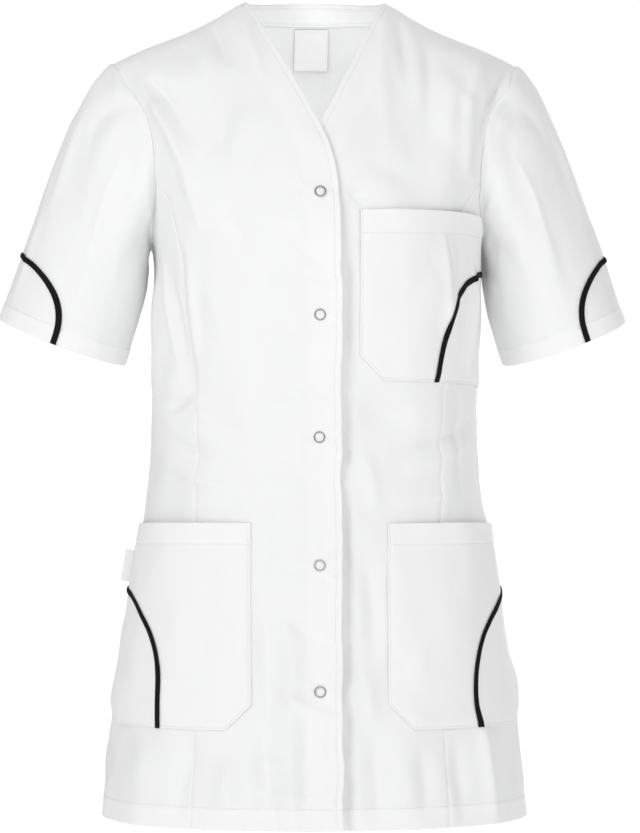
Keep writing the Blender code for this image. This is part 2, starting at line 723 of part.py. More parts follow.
def pocket_levels(pocket):
    """Gives the levels of a pocket's rows, from its bottom to its top."""
    curve = [curve_level(pocket, share) for share in CURVE_STEPS]
    chamfer = pocket.bottom + pocket.chamfer
    curve = [level for level in curve if abs(level - chamfer) > 0.003]
    corners = [pocket.bottom, chamfer, pocket.curve_top, pocket.top, *curve]
    for level in lower_levels() + upper_levels():
        near = min(abs(level - corner) for corner in corners)
        if pocket.bottom < level < pocket.top and near > 0.004:
            corners.append(level)
    return sorted(corners)


def make_pocket(pocket):
    """Makes a pocket's main piece, inset and piping."""
    levels = pocket_levels(pocket)
    girth, level = girth_grid(
        pocket.side,
        levels,
        lambda v: pocket_inner(pocket, v),
        lambda v: curve_girth(pocket, v) - SEAM / 2,
        POCKET_COLUMNS,
    )
    body_piece(pocket.name, FRONT, girth, level, pocket_height(pocket, girth, level))
    low = [v for v in levels if v <= curve_level(pocket, CURVE_STEPS[0]) + 1e-6]
    girth, level = girth_grid(
        pocket.side,
        low,
        lambda v: curve_girth(pocket, v) + SEAM / 2,
        lambda v: pocket_outer(pocket, v),
        INSET_COLUMNS,
    )
    body_piece(pocket.name + "_inset", FRONT, girth, level, pocket_height(pocket, girth, level))
    make_pocket_piping(pocket)


def make_pocket_piping(pocket):
    """Makes the flat strip that follows a pocket's curve on the inset's side."""
    places = []
    tall = pocket.curve_top - pocket.bottom
    for angle in np.linspace(0.04, 0.5 * math.pi, 17):
        share = math.sin(angle) ** (2 / pocket.fullness)
        drop = max(math.cos(angle), 0.0) ** (2 / pocket.fullness)
        level = pocket.bottom + tall * drop
        slope = (share * pocket.reach) ** (pocket.fullness - 1) / pocket.reach**pocket.fullness
        rise = (drop * tall) ** (pocket.fullness - 1) / tall**pocket.fullness
        length = math.hypot(slope, rise)
        edge = pocket_outer(pocket, level) - pocket.reach * share
        row = []
        for inset in (0.0, PIPING):
            shifted = max(level - inset * rise / length, pocket.bottom)
            limit = pocket_outer(pocket, shifted)
            row.append((min(edge + inset * slope / length, limit), shifted))
        places.append(row)
    places = np.array(places)
    girth, level = pocket.side * places[..., 0], places[..., 1]
    height = pocket_height(pocket, girth, level) + LAY + PIPING_WALL
    body_piece(pocket.name + "_piping", FRONT, girth, level, height, PIPING_WALL, BLACK)


def make_pocket_tab():
    """Makes the folded tab that stands out sideways from the wearer's right lower pocket."""
    levels = np.linspace(TAB_BOTTOM, TAB_TOP, 4)
    base = SEAM + LAY + WALL
    walls = []
    for girth_in in (TAB_IN, TAB_IN + TAB_WALL):
        rows = []
        for level in levels:
            girth = side_outer(level) - girth_in
            rows.append([body_cloth(FRONT, -girth, level, base + out) for out in (0.0, TAB_OUT)])
        walls.append(np.array(rows))
    cloth_wall("pocket_tab", walls[1], walls[0])


# ---------------------------------------------------------------- small pieces


def placket_frame(level, height):
    """Gives a place on the centre line at a height above the lower front, and its direction."""
    girth, levels = np.zeros(1), np.full(1, level)
    place = Vector(body_cloth(FRONT, girth, levels, height)[0])
    normal = Vector(body_normal(FRONT, girth, levels)[0])
    return place, normal.to_track_quat("Z", "Y").to_euler()


def make_snaps():
    """Makes each snap: a ring outside, stud and socket between the layers, a ring inside."""
    for number, level in enumerate(SNAP_LEVELS, start=1):
        lift = float(placket_lift(0.0, level))
        ring_out = lift + SNAP_WIRE + SNAP_GAP
        ring_in = -WALL - SNAP_WIRE - SNAP_GAP
        for name, height, sides in (("snap_ring_", ring_out, 18), ("snap_back_", ring_in, 12)):
            place, turn = placket_frame(level, height)
            bpy.ops.mesh.primitive_torus_add(
                major_radius=SNAP_RADIUS,
                minor_radius=SNAP_WIRE,
                major_segments=sides,
                minor_segments=sides // 3,
                location=place,
                rotation=turn,
            )
            adopt(f"{name}{number}", SILVER)
        room = lift - WALL
        place, turn = placket_frame(level, room / 2)
        bpy.ops.mesh.primitive_cylinder_add(
            vertices=12,
            radius=COUPLING_RADIUS,
            depth=room - 2 * SNAP_GAP,
            location=place,
            rotation=turn,
        )
        adopt(f"snap_coupling_{number}", SILVER)


def make_neck_label():
    """Makes the bare label that hangs inside the back from the neck seam."""
    levels = np.linspace(LABEL_TOP - LABEL_DROP, LABEL_TOP, 4)
    girth = np.repeat(np.linspace(-LABEL_WIDTH / 2, LABEL_WIDTH / 2, 5)[None, :], 4, axis=0)
    level = np.repeat(levels[:, None], 5, axis=1)
    hang = LABEL_LAY + LABEL_HANG * (LABEL_TOP - level) / LABEL_DROP
    body_piece("neck_label", BACK, girth, level, -WALL - hang, LABEL_WALL)


def main():
    """Clears the scene and makes the tunic."""
    for item in list(bpy.data.objects):
        bpy.data.objects.remove(item, do_unlink=True)
    collection = bpy.data.collections.new(COLLECTION)
    bpy.context.scene.collection.children.link(collection)
    make_fronts()
    make_side_fronts()
    make_back()
    make_back_collar()
    make_sleeves()
    for pocket in POCKETS:
        make_pocket(pocket)
    make_pocket_tab()
    make_snaps()
    make_neck_label()


main()
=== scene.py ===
"""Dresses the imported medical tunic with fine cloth, sewing, snaps and a plain studio.

The origin lies midway between the two points where the neck meets the shoulders. The front faces -Y,
+Z is up, and the wearer's left side is +X. Sizes are in metres.

A place on the body is a girth, the length of cloth from the centre line, and a level: the height below
the underarm, and above it a rise to 0 at the shoulder line. A place on a sleeve is a turn round it, from
the shoulder's tip by the front, and a share of the way from the armhole to the cuff.
"""

import logging
import math
from collections.abc import Callable, Sequence
from dataclasses import dataclass, field
from enum import Enum
from functools import partial

import bmesh
import bpy
import numpy as np
from mathutils import Matrix, Vector


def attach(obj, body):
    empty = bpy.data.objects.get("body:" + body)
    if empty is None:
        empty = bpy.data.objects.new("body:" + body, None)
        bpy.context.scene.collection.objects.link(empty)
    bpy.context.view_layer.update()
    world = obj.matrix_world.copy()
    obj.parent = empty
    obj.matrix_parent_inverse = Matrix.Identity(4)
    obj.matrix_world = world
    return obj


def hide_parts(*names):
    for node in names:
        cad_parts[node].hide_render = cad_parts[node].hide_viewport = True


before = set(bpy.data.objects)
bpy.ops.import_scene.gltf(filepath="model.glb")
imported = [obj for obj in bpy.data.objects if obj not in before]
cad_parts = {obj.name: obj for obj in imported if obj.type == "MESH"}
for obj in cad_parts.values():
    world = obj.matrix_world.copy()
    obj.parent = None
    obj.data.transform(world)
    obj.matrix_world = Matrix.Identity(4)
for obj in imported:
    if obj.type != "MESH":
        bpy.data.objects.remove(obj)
LOG = logging.getLogger("medical_tunic")
Array = np.ndarray
Socket = bpy.types.NodeSocket
Node = bpy.types.Node
Piece = bpy.types.Object
Colour = tuple[float, float, float]
Point = tuple[float, float, float]
Table = tuple[tuple[float, ...], ...]


class Half(Enum):
    """The body's two halves, which meet at the side seams; the value is the way each faces along Y."""

    FRONT = -1
    BACK = 1


class Side(Enum):
    """The wearer's two sides; the value is the sign of their X."""

    RIGHT = -1
    LEFT = 1

    @property
    def word(self) -> str:
        """The side's name as it stands in the names of pieces."""
        return self.name.lower()


class Slot(Enum):
    """The record's material slots."""

    CLOTH = "cloth"
    PIPING = "piping"
    METAL = "snap_metal"
    LABEL = "label"


# ---- finishes


class Value:
    """A number socket that maths can be written with."""

    def __init__(self, desk: "ShaderDesk", socket: Socket) -> None:
        """Wraps a socket that gives a number, and the desk that makes its material's nodes."""
        self.desk = desk
        self.socket = socket

    def _maths(self, operation: str, first: object, second: object = 0.0) -> "Value":
        """Gives the result of a Math node on one or two numbers or values."""
        return self.desk.value("Math", {"operation": operation}, {0: first, 1: second})

    def __add__(self, other: object) -> "Value":
        """Adds a number or a value."""
        return self._maths("ADD", self, other)

    __radd__ = __add__

    def __sub__(self, other: object) -> "Value":
        """Takes a number or a value away."""
        return self._maths("SUBTRACT", self, other)

    def __rsub__(self, other: object) -> "Value":
        """Takes this value away from a number."""
        return self._maths("SUBTRACT", other, self)

    def __mul__(self, other: object) -> "Value":
        """Multiplies by a number or a value."""
        return self._maths("MULTIPLY", self, other)

    __rmul__ = __mul__

    def sine(self) -> "Value":
        """Gives the sine of an angle in radians."""
        return self._maths("SINE", self)

    def clamped(self) -> "Value":
        """Holds the value between 0 and 1."""
        return self._maths("MAXIMUM", self._maths("MINIMUM", self, 1.0), 0.0)


class ShaderDesk:
    """Makes the nodes of one material or of the surround."""

    def __init__(self, tree: bpy.types.NodeTree) -> None:
        """Clears the tree that takes the nodes."""
        self.tree = tree
        tree.nodes.clear()

    def make(self, kind: str, settings: dict[str, object], inputs: dict[object, object]) -> Node:
        """Makes a node.

        Args:
            kind: The node's type, without the word that every type begins with.
            settings: Its settings, which are made first.
            inputs: Numbers, colours, sockets or values for its sockets, by name or place.

        Returns:
            The node.
        """
        node = self.tree.nodes.new("ShaderNode" + kind)
        for name, setting in settings.items():
            setattr(node, name, setting)
        for key, given in inputs.items():
            given = given.socket if isinstance(given, Value) else given
            if isinstance(given, Socket):
                self.tree.links.new(given, node.inputs[key])
            else:
                node.inputs[key].default_value = given
        return node

    def value(self, kind: str, settings: dict[str, object], inputs: dict[object, object], out: object = 0) -> Value:
        """Makes a node, and gives the number at one of its outputs as a value."""
        return Value(self, self.make(kind, settings, inputs).outputs[out])

    def blend(self, share: Value, first: Colour, second: Colour) -> Socket:
        """Blends two colours.

        Args:
            share: The second colour's share.
            first: The first colour.
            second: The second colour.

        Returns:
            The blended colour's socket.
        """
        factor, colour_a, colour_b, result = 0, 6, 7, 2  # the colours' own sockets of the node
        inputs = {factor: share, colour_a: (*first, 1.0), colour_b: (*second, 1.0)}
        return self.make("Mix", {"data_type": "RGBA"}, inputs).outputs[result]

    def place(self) -> Socket:
        """Gives the places on the object, in metres."""
        return self.make("TexCoord", {}, {}).outputs["Object"]

    def flat(self) -> tuple[Socket, Value, Value]:
        """Gives the places on the uncut cloth.

        Returns:
            The places, and how far across and along they lie.
        """
        flat = self.make("UVMap", {"uv_map": "flat"}, {}).outputs[0]
        split = self.make("SeparateXYZ", {}, {0: flat})
        return flat, Value(self, split.outputs[0]), Value(self, split.outputs[1])

    def noise(self, place: Socket, scale: float, detail: float = 2.0) -> Value:
        """Makes a noise between 0 and 1, of so many lumps a metre, with finer noises on it."""
        return self.value("TexNoise", {}, {"Vector": place, "Scale": scale, "Detail": detail})

    def bump(self, strength: float, depth: float, height: Value, under: Socket | None = None) -> Socket:
        """Makes a fine relief.

        Args:
            strength: The bump's strength.
            depth: Its depth.
            height: The relief.
            under: The normal that it lies on, or nothing.

        Returns:
            The bumped normal's socket.
        """
        inputs = {"Strength": strength, "Distance": depth, "Height": height}
        if under is not None:
            inputs["Normal"] = under
        return self.make("Bump", {}, inputs).outputs[0]

    def surface(self, colour: Socket, roughness: object, normal: Socket | None, **others: object) -> Node:
        """Makes the main shader.

        Args:
            colour: Its base colour.
            roughness: Its roughness.
            normal: Its bumped normal, or nothing.
            **others: Its other sockets' names, with _ for each space, and their numbers.

        Returns:
            The shader node.
        """
        inputs = {"Base Color": colour, "Roughness": roughness}
        if normal is not None:
            inputs["Normal"] = normal
        named = {name.replace("_", " "): given for name, given in others.items()}
        return self.make("BsdfPrincipled", {}, inputs | named)

    def finish(self, shader: Node, kind: str = "OutputMaterial") -> None:
        """Joins a shader to the output."""
        self.make(kind, {}, {"Surface": shader.outputs[0]})


@dataclass(frozen=True)
class Finish:
    """What every finish has: its name, its slot in the record and the material that it makes once."""

    name: str
    slot: Slot

    def material(self) -> bpy.types.Material:
        """Gives the finish's material.

        Returns:
            The material, made at its first use.
        """
        made = bpy.data.materials.get(self.name)
        if made is None:
            made = bpy.data.materials.new(self.name)
            made.use_nodes = True
            desk = ShaderDesk(made.node_tree)
            desk.finish(self.shade(desk))
        return made

    def shade(self, desk: ShaderDesk) -> Node:
        """Makes the finish's shader; each finish has its own."""
        raise NotImplementedError


@dataclass(frozen=True)
class TwillFinish(Finish):
    """Poly-cotton twill, whiter where two layers lie on each other."""

    single: Colour = (0.835, 0.838, 0.838)
    double: Colour = (0.862, 0.864, 0.864)
    roughness: float = 0.86
    rib: float = 0.00062  # distance between the twill's diagonal ribs
    rib_depth: float = 0.000018
    crease_depth: float = 0.00022
    mottle: float = 0.10

    def shade(self, desk: ShaderDesk) -> Node:
        """Makes the shader, with ribs, slubs and a soft rumple.

        Args:
            desk: The material's desk.

        Returns:
            The shader node.
        """
        flat, across, along = desk.flat()
        place = desk.place()
        turn = 2 * math.pi / self.rib
        ribs = (across * turn + along * turn).sine()
        yarns = (across * (turn * 0.9) - along * (turn * 0.9)).sine()
        slub = desk.noise(flat, 420.0)
        weave = ribs * 0.6 + yarns * 0.25 + slub * 0.5
        rumple = desk.bump(0.55, self.crease_depth, desk.noise(place, 34.0, 3.0))
        layers = desk.value("Attribute", {"attribute_name": "layers"}, {}, "Fac")
        cloudy = desk.noise(place, 11.0, 3.0) - 0.5
        share = (layers + cloudy * self.mottle + (slub - 0.5) * 0.06).clamped()
        return desk.surface(
            desk.blend(share, self.single, self.double),
            self.roughness + (slub - 0.5) * 0.08,
            desk.bump(0.5, self.rib_depth, weave, rumple),
            Specular_IOR_Level=0.3,
            Sheen_Weight=0.2,
            Sheen_Roughness=0.5,
        )


@dataclass(frozen=True)
class ThreadFinish(Finish):
    """Twisted sewing thread with a slight gloss."""

    colour: Colour = (0.86, 0.865, 0.87)
    shaded: Colour = (0.78, 0.785, 0.79)

    def shade(self, desk: ShaderDesk) -> Node:
        """Makes the shader.

        Args:
            desk: The material's desk.

        Returns:
            The shader node.
        """
        twist = desk.noise(desk.place(), 2600.0)
        colour = desk.blend(twist, self.shaded, self.colour)
        return desk.surface(colour, 0.5 + twist * 0.15, desk.bump(0.4, 0.00006, twist), Sheen_Weight=0.15)


@dataclass(frozen=True)
class PipingFinish(Finish):
    """Black poly-cotton, folded and pressed, greyer where it is rubbed."""

    colour: Colour = (0.0030, 0.0030, 0.0034)
    rubbed: Colour = (0.0105, 0.0105, 0.0115)
    rib: float = 0.0006

    def shade(self, desk: ShaderDesk) -> Node:
        """Makes the shader.

        Args:
            desk: The material's desk.

        Returns:
            The shader node.
        """
        flat, across, along = desk.flat()
        turn = 2 * math.pi / self.rib
        ribs = (across * turn + along * turn).sine()
        slub = desk.noise(flat, 500.0)
        return desk.surface(
            desk.blend((slub * 0.9 + ribs * 0.1).clamped(), self.colour, self.rubbed),
            0.78 + (slub - 0.5) * 0.1,
            desk.bump(0.6, 0.00004, ribs * 0.5 + slub),
            Specular_IOR_Level=0.14,
            Sheen_Weight=0.02,
        )


@dataclass(frozen=True)
class LabelFinish(Finish):
    """White woven tape with fine cross ribs, with painted shade in the furrows between them."""

    colour: Colour = (0.90, 0.90, 0.895)
    # painted shade: the darker colour that the furrows between the ribs are given
    furrow_shade: Colour = (0.80, 0.80, 0.80)
    rib: float = 0.0005

    def shade(self, desk: ShaderDesk) -> Node:
        """Makes the shader.

        Args:
            desk: The material's desk.

        Returns:
            The shader node.
        """
        flat, across, along = desk.flat()
        turn = 2 * math.pi / self.rib
        ribs = (along * turn).sine() * 0.5 + 0.5
        yarns = (across * (turn * 1.6)).sine() * 0.5 + 0.5
        slub = desk.noise(flat, 600.0)
        return desk.surface(
            # painted shade: the colour darkens towards the furrow colour where the ribs dip
            desk.blend((ribs * 0.6 + slub * 0.5).clamped(), self.furrow_shade, self.colour),
            0.55 + slub * 0.15,
            desk.bump(0.5, 0.00003, ribs + yarns * 0.4 + slub * 0.5),
            Sheen_Weight=0.2,
        )


@dataclass(frozen=True)
class SnapMetalFinish(Finish):
    """Nickel-plated metal, with fine scuffs and a duller film in places."""

    colour: Colour = (0.52, 0.52, 0.525)
    dull: Colour = (0.30, 0.30, 0.305)

    def shade(self, desk: ShaderDesk) -> Node:
        """Makes the shader.

        Args:
            desk: The material's desk.

        Returns:
            The shader node.
        """
        place = desk.place()
        film = desk.noise(place, 320.0, 3.0)
        scuffs = desk.noise(place, 4200.0)
        return desk.surface(
            desk.blend(film, self.colour, self.dull),
            0.16 + film * 0.16 + scuffs * 0.06,
            desk.bump(0.25, 0.00003, scuffs),
            Metallic=0.92 + film * 0.08,
        )


@dataclass(frozen=True)
class StudioFinish(Finish):
    """A pale, matte studio surface that runs out into an evenly lit white."""

    colour: Colour = (0.93, 0.93, 0.93)
    shaded: Colour = (0.9114, 0.9114, 0.9114)
    near: float = 0.9
    far: float = 2.5

    def shade(self, desk: ShaderDesk) -> Node:
        """Makes the shader.

        Args:
            desk: The material's desk.

        Returns:
            The shader node.
        """
        place = desk.place()
        colours = desk.blend(desk.noise(place, 3.0), self.colour, self.shaded)
        white = (1.0, 1.0, 1.0, 1.0)
        matte = desk.surface(colours, 0.9, None, Emission_Color=white, Emission_Strength=0.3)
        glow = desk.make("Emission", {}, {"Color": white, "Strength": 1.05})
        away = desk.make("VectorMath", {"operation": "LENGTH"}, {0: place}).outputs["Value"]
        reach = {"Value": away, "From Min": self.near, "From Max": self.far}
        share = desk.value("MapRange", {"interpolation_type": "SMOOTHSTEP"}, reach)
        return desk.make("MixShader", {}, {0: share, 1: matte.outputs[0], 2: glow.outputs[0]})


TWILL = TwillFinish("white_twill", Slot.CLOTH)
THREAD = ThreadFinish("white_thread", Slot.CLOTH)
BLACK_STRIP = PipingFinish("black_folded_strip", Slot.PIPING)
WOVEN_TAPE = LabelFinish("woven_tape", Slot.LABEL)
NICKEL = SnapMetalFinish("nickel", Slot.METAL)


# ---- measuring cloth


class SmoothCurve:
    """A smooth curve through the values of a table, level beyond its ends."""

    def __init__(self, keys: Sequence[float], values: Sequence[float]) -> None:
        """Lays the curve.

        Args:
            keys: Rising keys.
            values: The value at each key.
        """
        self.keys = np.array(keys, float)
        self.values = np.array(values, float)
        self.slopes = np.gradient(self.values, self.keys)

    def __call__(self, at: Array | float) -> Array:
        """Reads the curve.

        Args:
            at: Keys to read it at.

        Returns:
            The curve's values.
        """
        at = np.clip(at, self.keys[0], self.keys[-1])
        left = np.clip(np.searchsorted(self.keys, at) - 1, 0, len(self.keys) - 2)
        span = self.keys[left + 1] - self.keys[left]
        part = (at - self.keys[left]) / span
        rest = 1 - part
        start = rest**2 * ((1 + 2 * part) * self.values[left] + part * span * self.slopes[left])
        end = part**2 * ((1 + 2 * rest) * self.values[left + 1] - rest * span * self.slopes[left + 1])
        return start + end


def smooth(share: Array | float) -> Array:
    """Eases a share from 0 to 1 and holds it there."""
    share = np.clip(share, 0.0, 1.0)
    return share * share * (3 - 2 * share)


def lumps(across: Array, along: Array, pitch_across: float, pitch_along: float, seed: int) -> Array:
    """Gives a smooth, uneven relief between -1 and 1.

    Args:
        across: First coordinate of each place.
        along: Second coordinate of each place.
        pitch_across: Size of a lump in the first direction.
        pitch_along: Size of a lump in the second direction.
        seed: Picks one relief of many.

    Returns:
        The relief's heights.
    """
    cells, lean, start_across, start_along = 64, 0.35, 31.7, 17.3
    table = np.random.default_rng(seed).uniform(-1, 1, (cells, cells))
    first = across / pitch_across + lean * along / pitch_along + start_across
    second = along / pitch_along - lean * across / pitch_across + start_along
    column, row = np.floor(first).astype(int), np.floor(second).astype(int)
    part, rise = first - column, second - row
    part = part**3 * (part * (6 * part - 15) + 10)
    rise = rise**3 * (rise * (6 * rise - 15) + 10)
    column, row = column % cells, row % cells
    beside, above = (column + 1) % cells, (row + 1) % cells
    low = table[column, row] * (1 - part) + table[beside, row] * part
    high = table[column, above] * (1 - part) + table[beside, above] * part
    return low * (1 - rise) + high * rise


def groove(distance: Array, depth: float, width: float) -> Array:
    """Gives the height of a sewn groove, from the distance to its line."""
    return -depth * np.exp(-((distance / width) ** 2))


def rounded(distance: Array, radius: float) -> Array:
    """Gives the height of a rounded edge, from the distance to it."""
    inward = np.clip(1 - distance / radius, 0.0, 1.0)
    return radius * (np.sqrt(1 - inward**2) - 1)


def turned_hem(above: Array, hem: float, swell: float) -> Array:
    """Gives the height of a turned hem, from the distance to its edge: its swelling and its stitched groove."""
    return swell * smooth((hem + 0.0015 - above) / 0.0025) + groove(above - hem, STITCH_DEPTH, STITCH_WIDTH)


def doubled(above: Array, hem: float) -> Array:
    """Gives how double the cloth lies at a turned hem, from the distance to its edge."""
    return smooth((hem + 0.0005 - above) / 0.0010)


@dataclass(frozen=True)
class Crease:
    """A ridge (height above 0) or trough of cloth along a bent line between two places.

    Places are pairs of distance from the middle and level on the body, and of turn and share of the way on
    a sleeve. A crease with a fade tapers off towards its ends.
    """

    start: tuple[float, float]
    bend: tuple[float, float]
    end: tuple[float, float]
    width: float
    height: float
    crest: float = 1.7
    fade: bool = True

    def relief(self, across: Array, along: Array, line: Array) -> Array:
        """Gives the crease's heights.

        Args:
            across: First coordinate of each place.
            along: Second coordinate of each place.
            line: The crease's three places in the same coordinates.

        Returns:
            The heights.
        """
        reach, steps = 5 * self.width, 8
        low, high = line.min(axis=0) - reach, line.max(axis=0) + reach
        near = (across > low[0]) & (across < high[0]) & (along > low[1]) & (along < high[1])
        total = np.zeros(across.shape)
        if not near.any():
            return total
        u, v = across[near], along[near]
        marks = np.linspace(0.0, 1.0, steps + 1)[:, None]
        path = line[0] * (1 - marks) ** 2 + line[1] * 2 * marks * (1 - marks) + line[2] * marks**2
        best, share = np.full(u.shape, np.inf), np.zeros(u.shape)
        for index, (here, there) in enumerate(zip(path, path[1:])):
            run = there - here
            part = ((u - here[0]) * run[0] + (v - here[1]) * run[1]) / max(run @ run, 1e-12)
            part = np.clip(part, 0.0, 1.0)
            gap = np.hypot(u - here[0] - part * run[0], v - here[1] - part * run[1])
            closer = gap < best
            best = np.where(closer, gap, best)
            share = np.where(closer, (index + part) / steps, share)
        taper = np.sin(math.pi * share) if self.fade else 1.0
        total[near] = self.height * taper * np.exp(-((best / self.width) ** self.crest))
        return total


def folds(*rows: tuple[float, ...]) -> tuple[Crease, ...]:
    """Gives the straight folds that the solids have too.

    Args:
        *rows: Each fold's two places, width and height, in millimetres.

    Returns:
        The folds.
    """
    made = []
    for row in rows:
        across, level, end_across, end_level, width, height = (length / 1000 for length in row)
        middle = ((across + end_across) / 2, (level + end_level) / 2)
        made.append(Crease((across, level), middle, (end_across, end_level), width, height, 2.0, False))
    return tuple(made)


def creases(*rows: tuple[float, ...], units: float = 1000) -> tuple[Crease, ...]:
    """Gives bent creases.

    Args:
        *rows: Each crease's three places, width and height, and its crest and fade where they are given.
        units: How many of the rows' units make one of the creases' own, 1000 where they are millimetres.

    Returns:
        The creases.
    """
    made = []
    for row in rows:
        scaled = [length / units for length in row[:8]]
        made.append(Crease(tuple(scaled[:2]), tuple(scaled[2:4]), tuple(scaled[4:6]), *scaled[6:], *row[8:]))
    return tuple(made)


class Surface:
    """A surface of cloth whose places have two coordinates; bare() gives its points."""

    STEP = 0.001  # how far off neighbours are taken for a direction
    LAST = math.inf  # the second coordinate's end; a second coordinate that has one begins at 0
    outward = 1  # which way its cross product points

    def bare(self, first: Array, second: Array) -> Array:
        """Gives points of the surface without its folds; each surface has its own."""
        raise NotImplementedError

    def normal(self, first: Array, second: Array) -> Array:
        """Gives the surface's outward directions.

        Args:
            first: The places' first coordinates.
            second: Their second coordinates.

        Returns:
            One direction a place.
        """
        across = self.bare(first + self.STEP, second) - self.bare(first - self.STEP, second)
        low, high = second - self.STEP, second + self.STEP
        if self.LAST < math.inf:
            low, high = np.maximum(low, 0.0), np.minimum(high, self.LAST)
        normal = self.outward * np.cross(across, self.bare(first, high) - self.bare(first, low))
        return normal / np.linalg.norm(normal, axis=-1, keepdims=True)

    def cloth(self, first: Array | float, second: Array | float, height: Array | float) -> Array:
        """Gives points at heights, folds included, above the bare surface."""
        first, second, height = np.broadcast_arrays(*(np.asarray(x, float) for x in (first, second, height)))
        return self.bare(first, second) + self.normal(first, second) * height[..., None]


# ---- the body's surface

UNDERARM, HEM = -0.205, -0.698
WALL = 0.0012
SEAM = -0.0003  # neighbouring cloths overlap by this at a seam, so that no light comes through
STITCH_DEPTH, STITCH_WIDTH = 0.00030, 0.0010  # of the groove along a row of stitches
NECK, PEAK = 0.0890, 0.0616  # half widths of the neck at its base and between the collar's peaks
FULLNESS = 2.3  # of the body's cross-section; 2 would make it an ellipse

BODY: Table = (
    (-0.700, 0.1850, 0.1850, 0.140, 0.127),
    (-0.650, 0.1807, 0.1807, 0.137, 0.125),
    (-0.600, 0.1748, 0.1748, 0.133, 0.122),
    (-0.545, 0.1658, 0.1658, 0.128, 0.118),
    (-0.490, 0.1580, 0.1580, 0.121, 0.110),
    (-0.440, 0.1496, 0.1496, 0.115, 0.102),
    (-0.400, 0.1450, 0.1450, 0.112, 0.097),
    (-0.350, 0.1430, 0.1430, 0.115, 0.096),
    (-0.280, 0.1426, 0.1426, 0.128, 0.101),
    (-0.205, 0.1430, 0.1430, 0.138, 0.108),
    (-0.165, 0.1520, 0.1650, 0.139, 0.110),
    (-0.120, 0.1660, 0.1790, 0.137, 0.110),
    (-0.060, 0.1840, 0.1920, 0.135, 0.108),
    (0.000, 0.2000, 0.2000, 0.135, 0.106),
)  # level, half width in front and at the back, depth in front and at the back
SHOULDER: Table = (
    (0.0000, 0.0200, 0.0110),
    (0.0300, 0.0196, 0.0098),
    (PEAK, 0.0160, 0.0057),
    (NECK, 0.0000, 0.0000),
    (0.1050, -0.0088, -0.0088),
    (0.1245, -0.0176, -0.0176),
    (0.1465, -0.0264, -0.0264),
    (0.1660, -0.0352, -0.0352),
    (0.1835, -0.0440, -0.0440),
    (0.2100, -0.0600, -0.0600),
)  # distance from the middle, height of the shoulder line in front and at the back

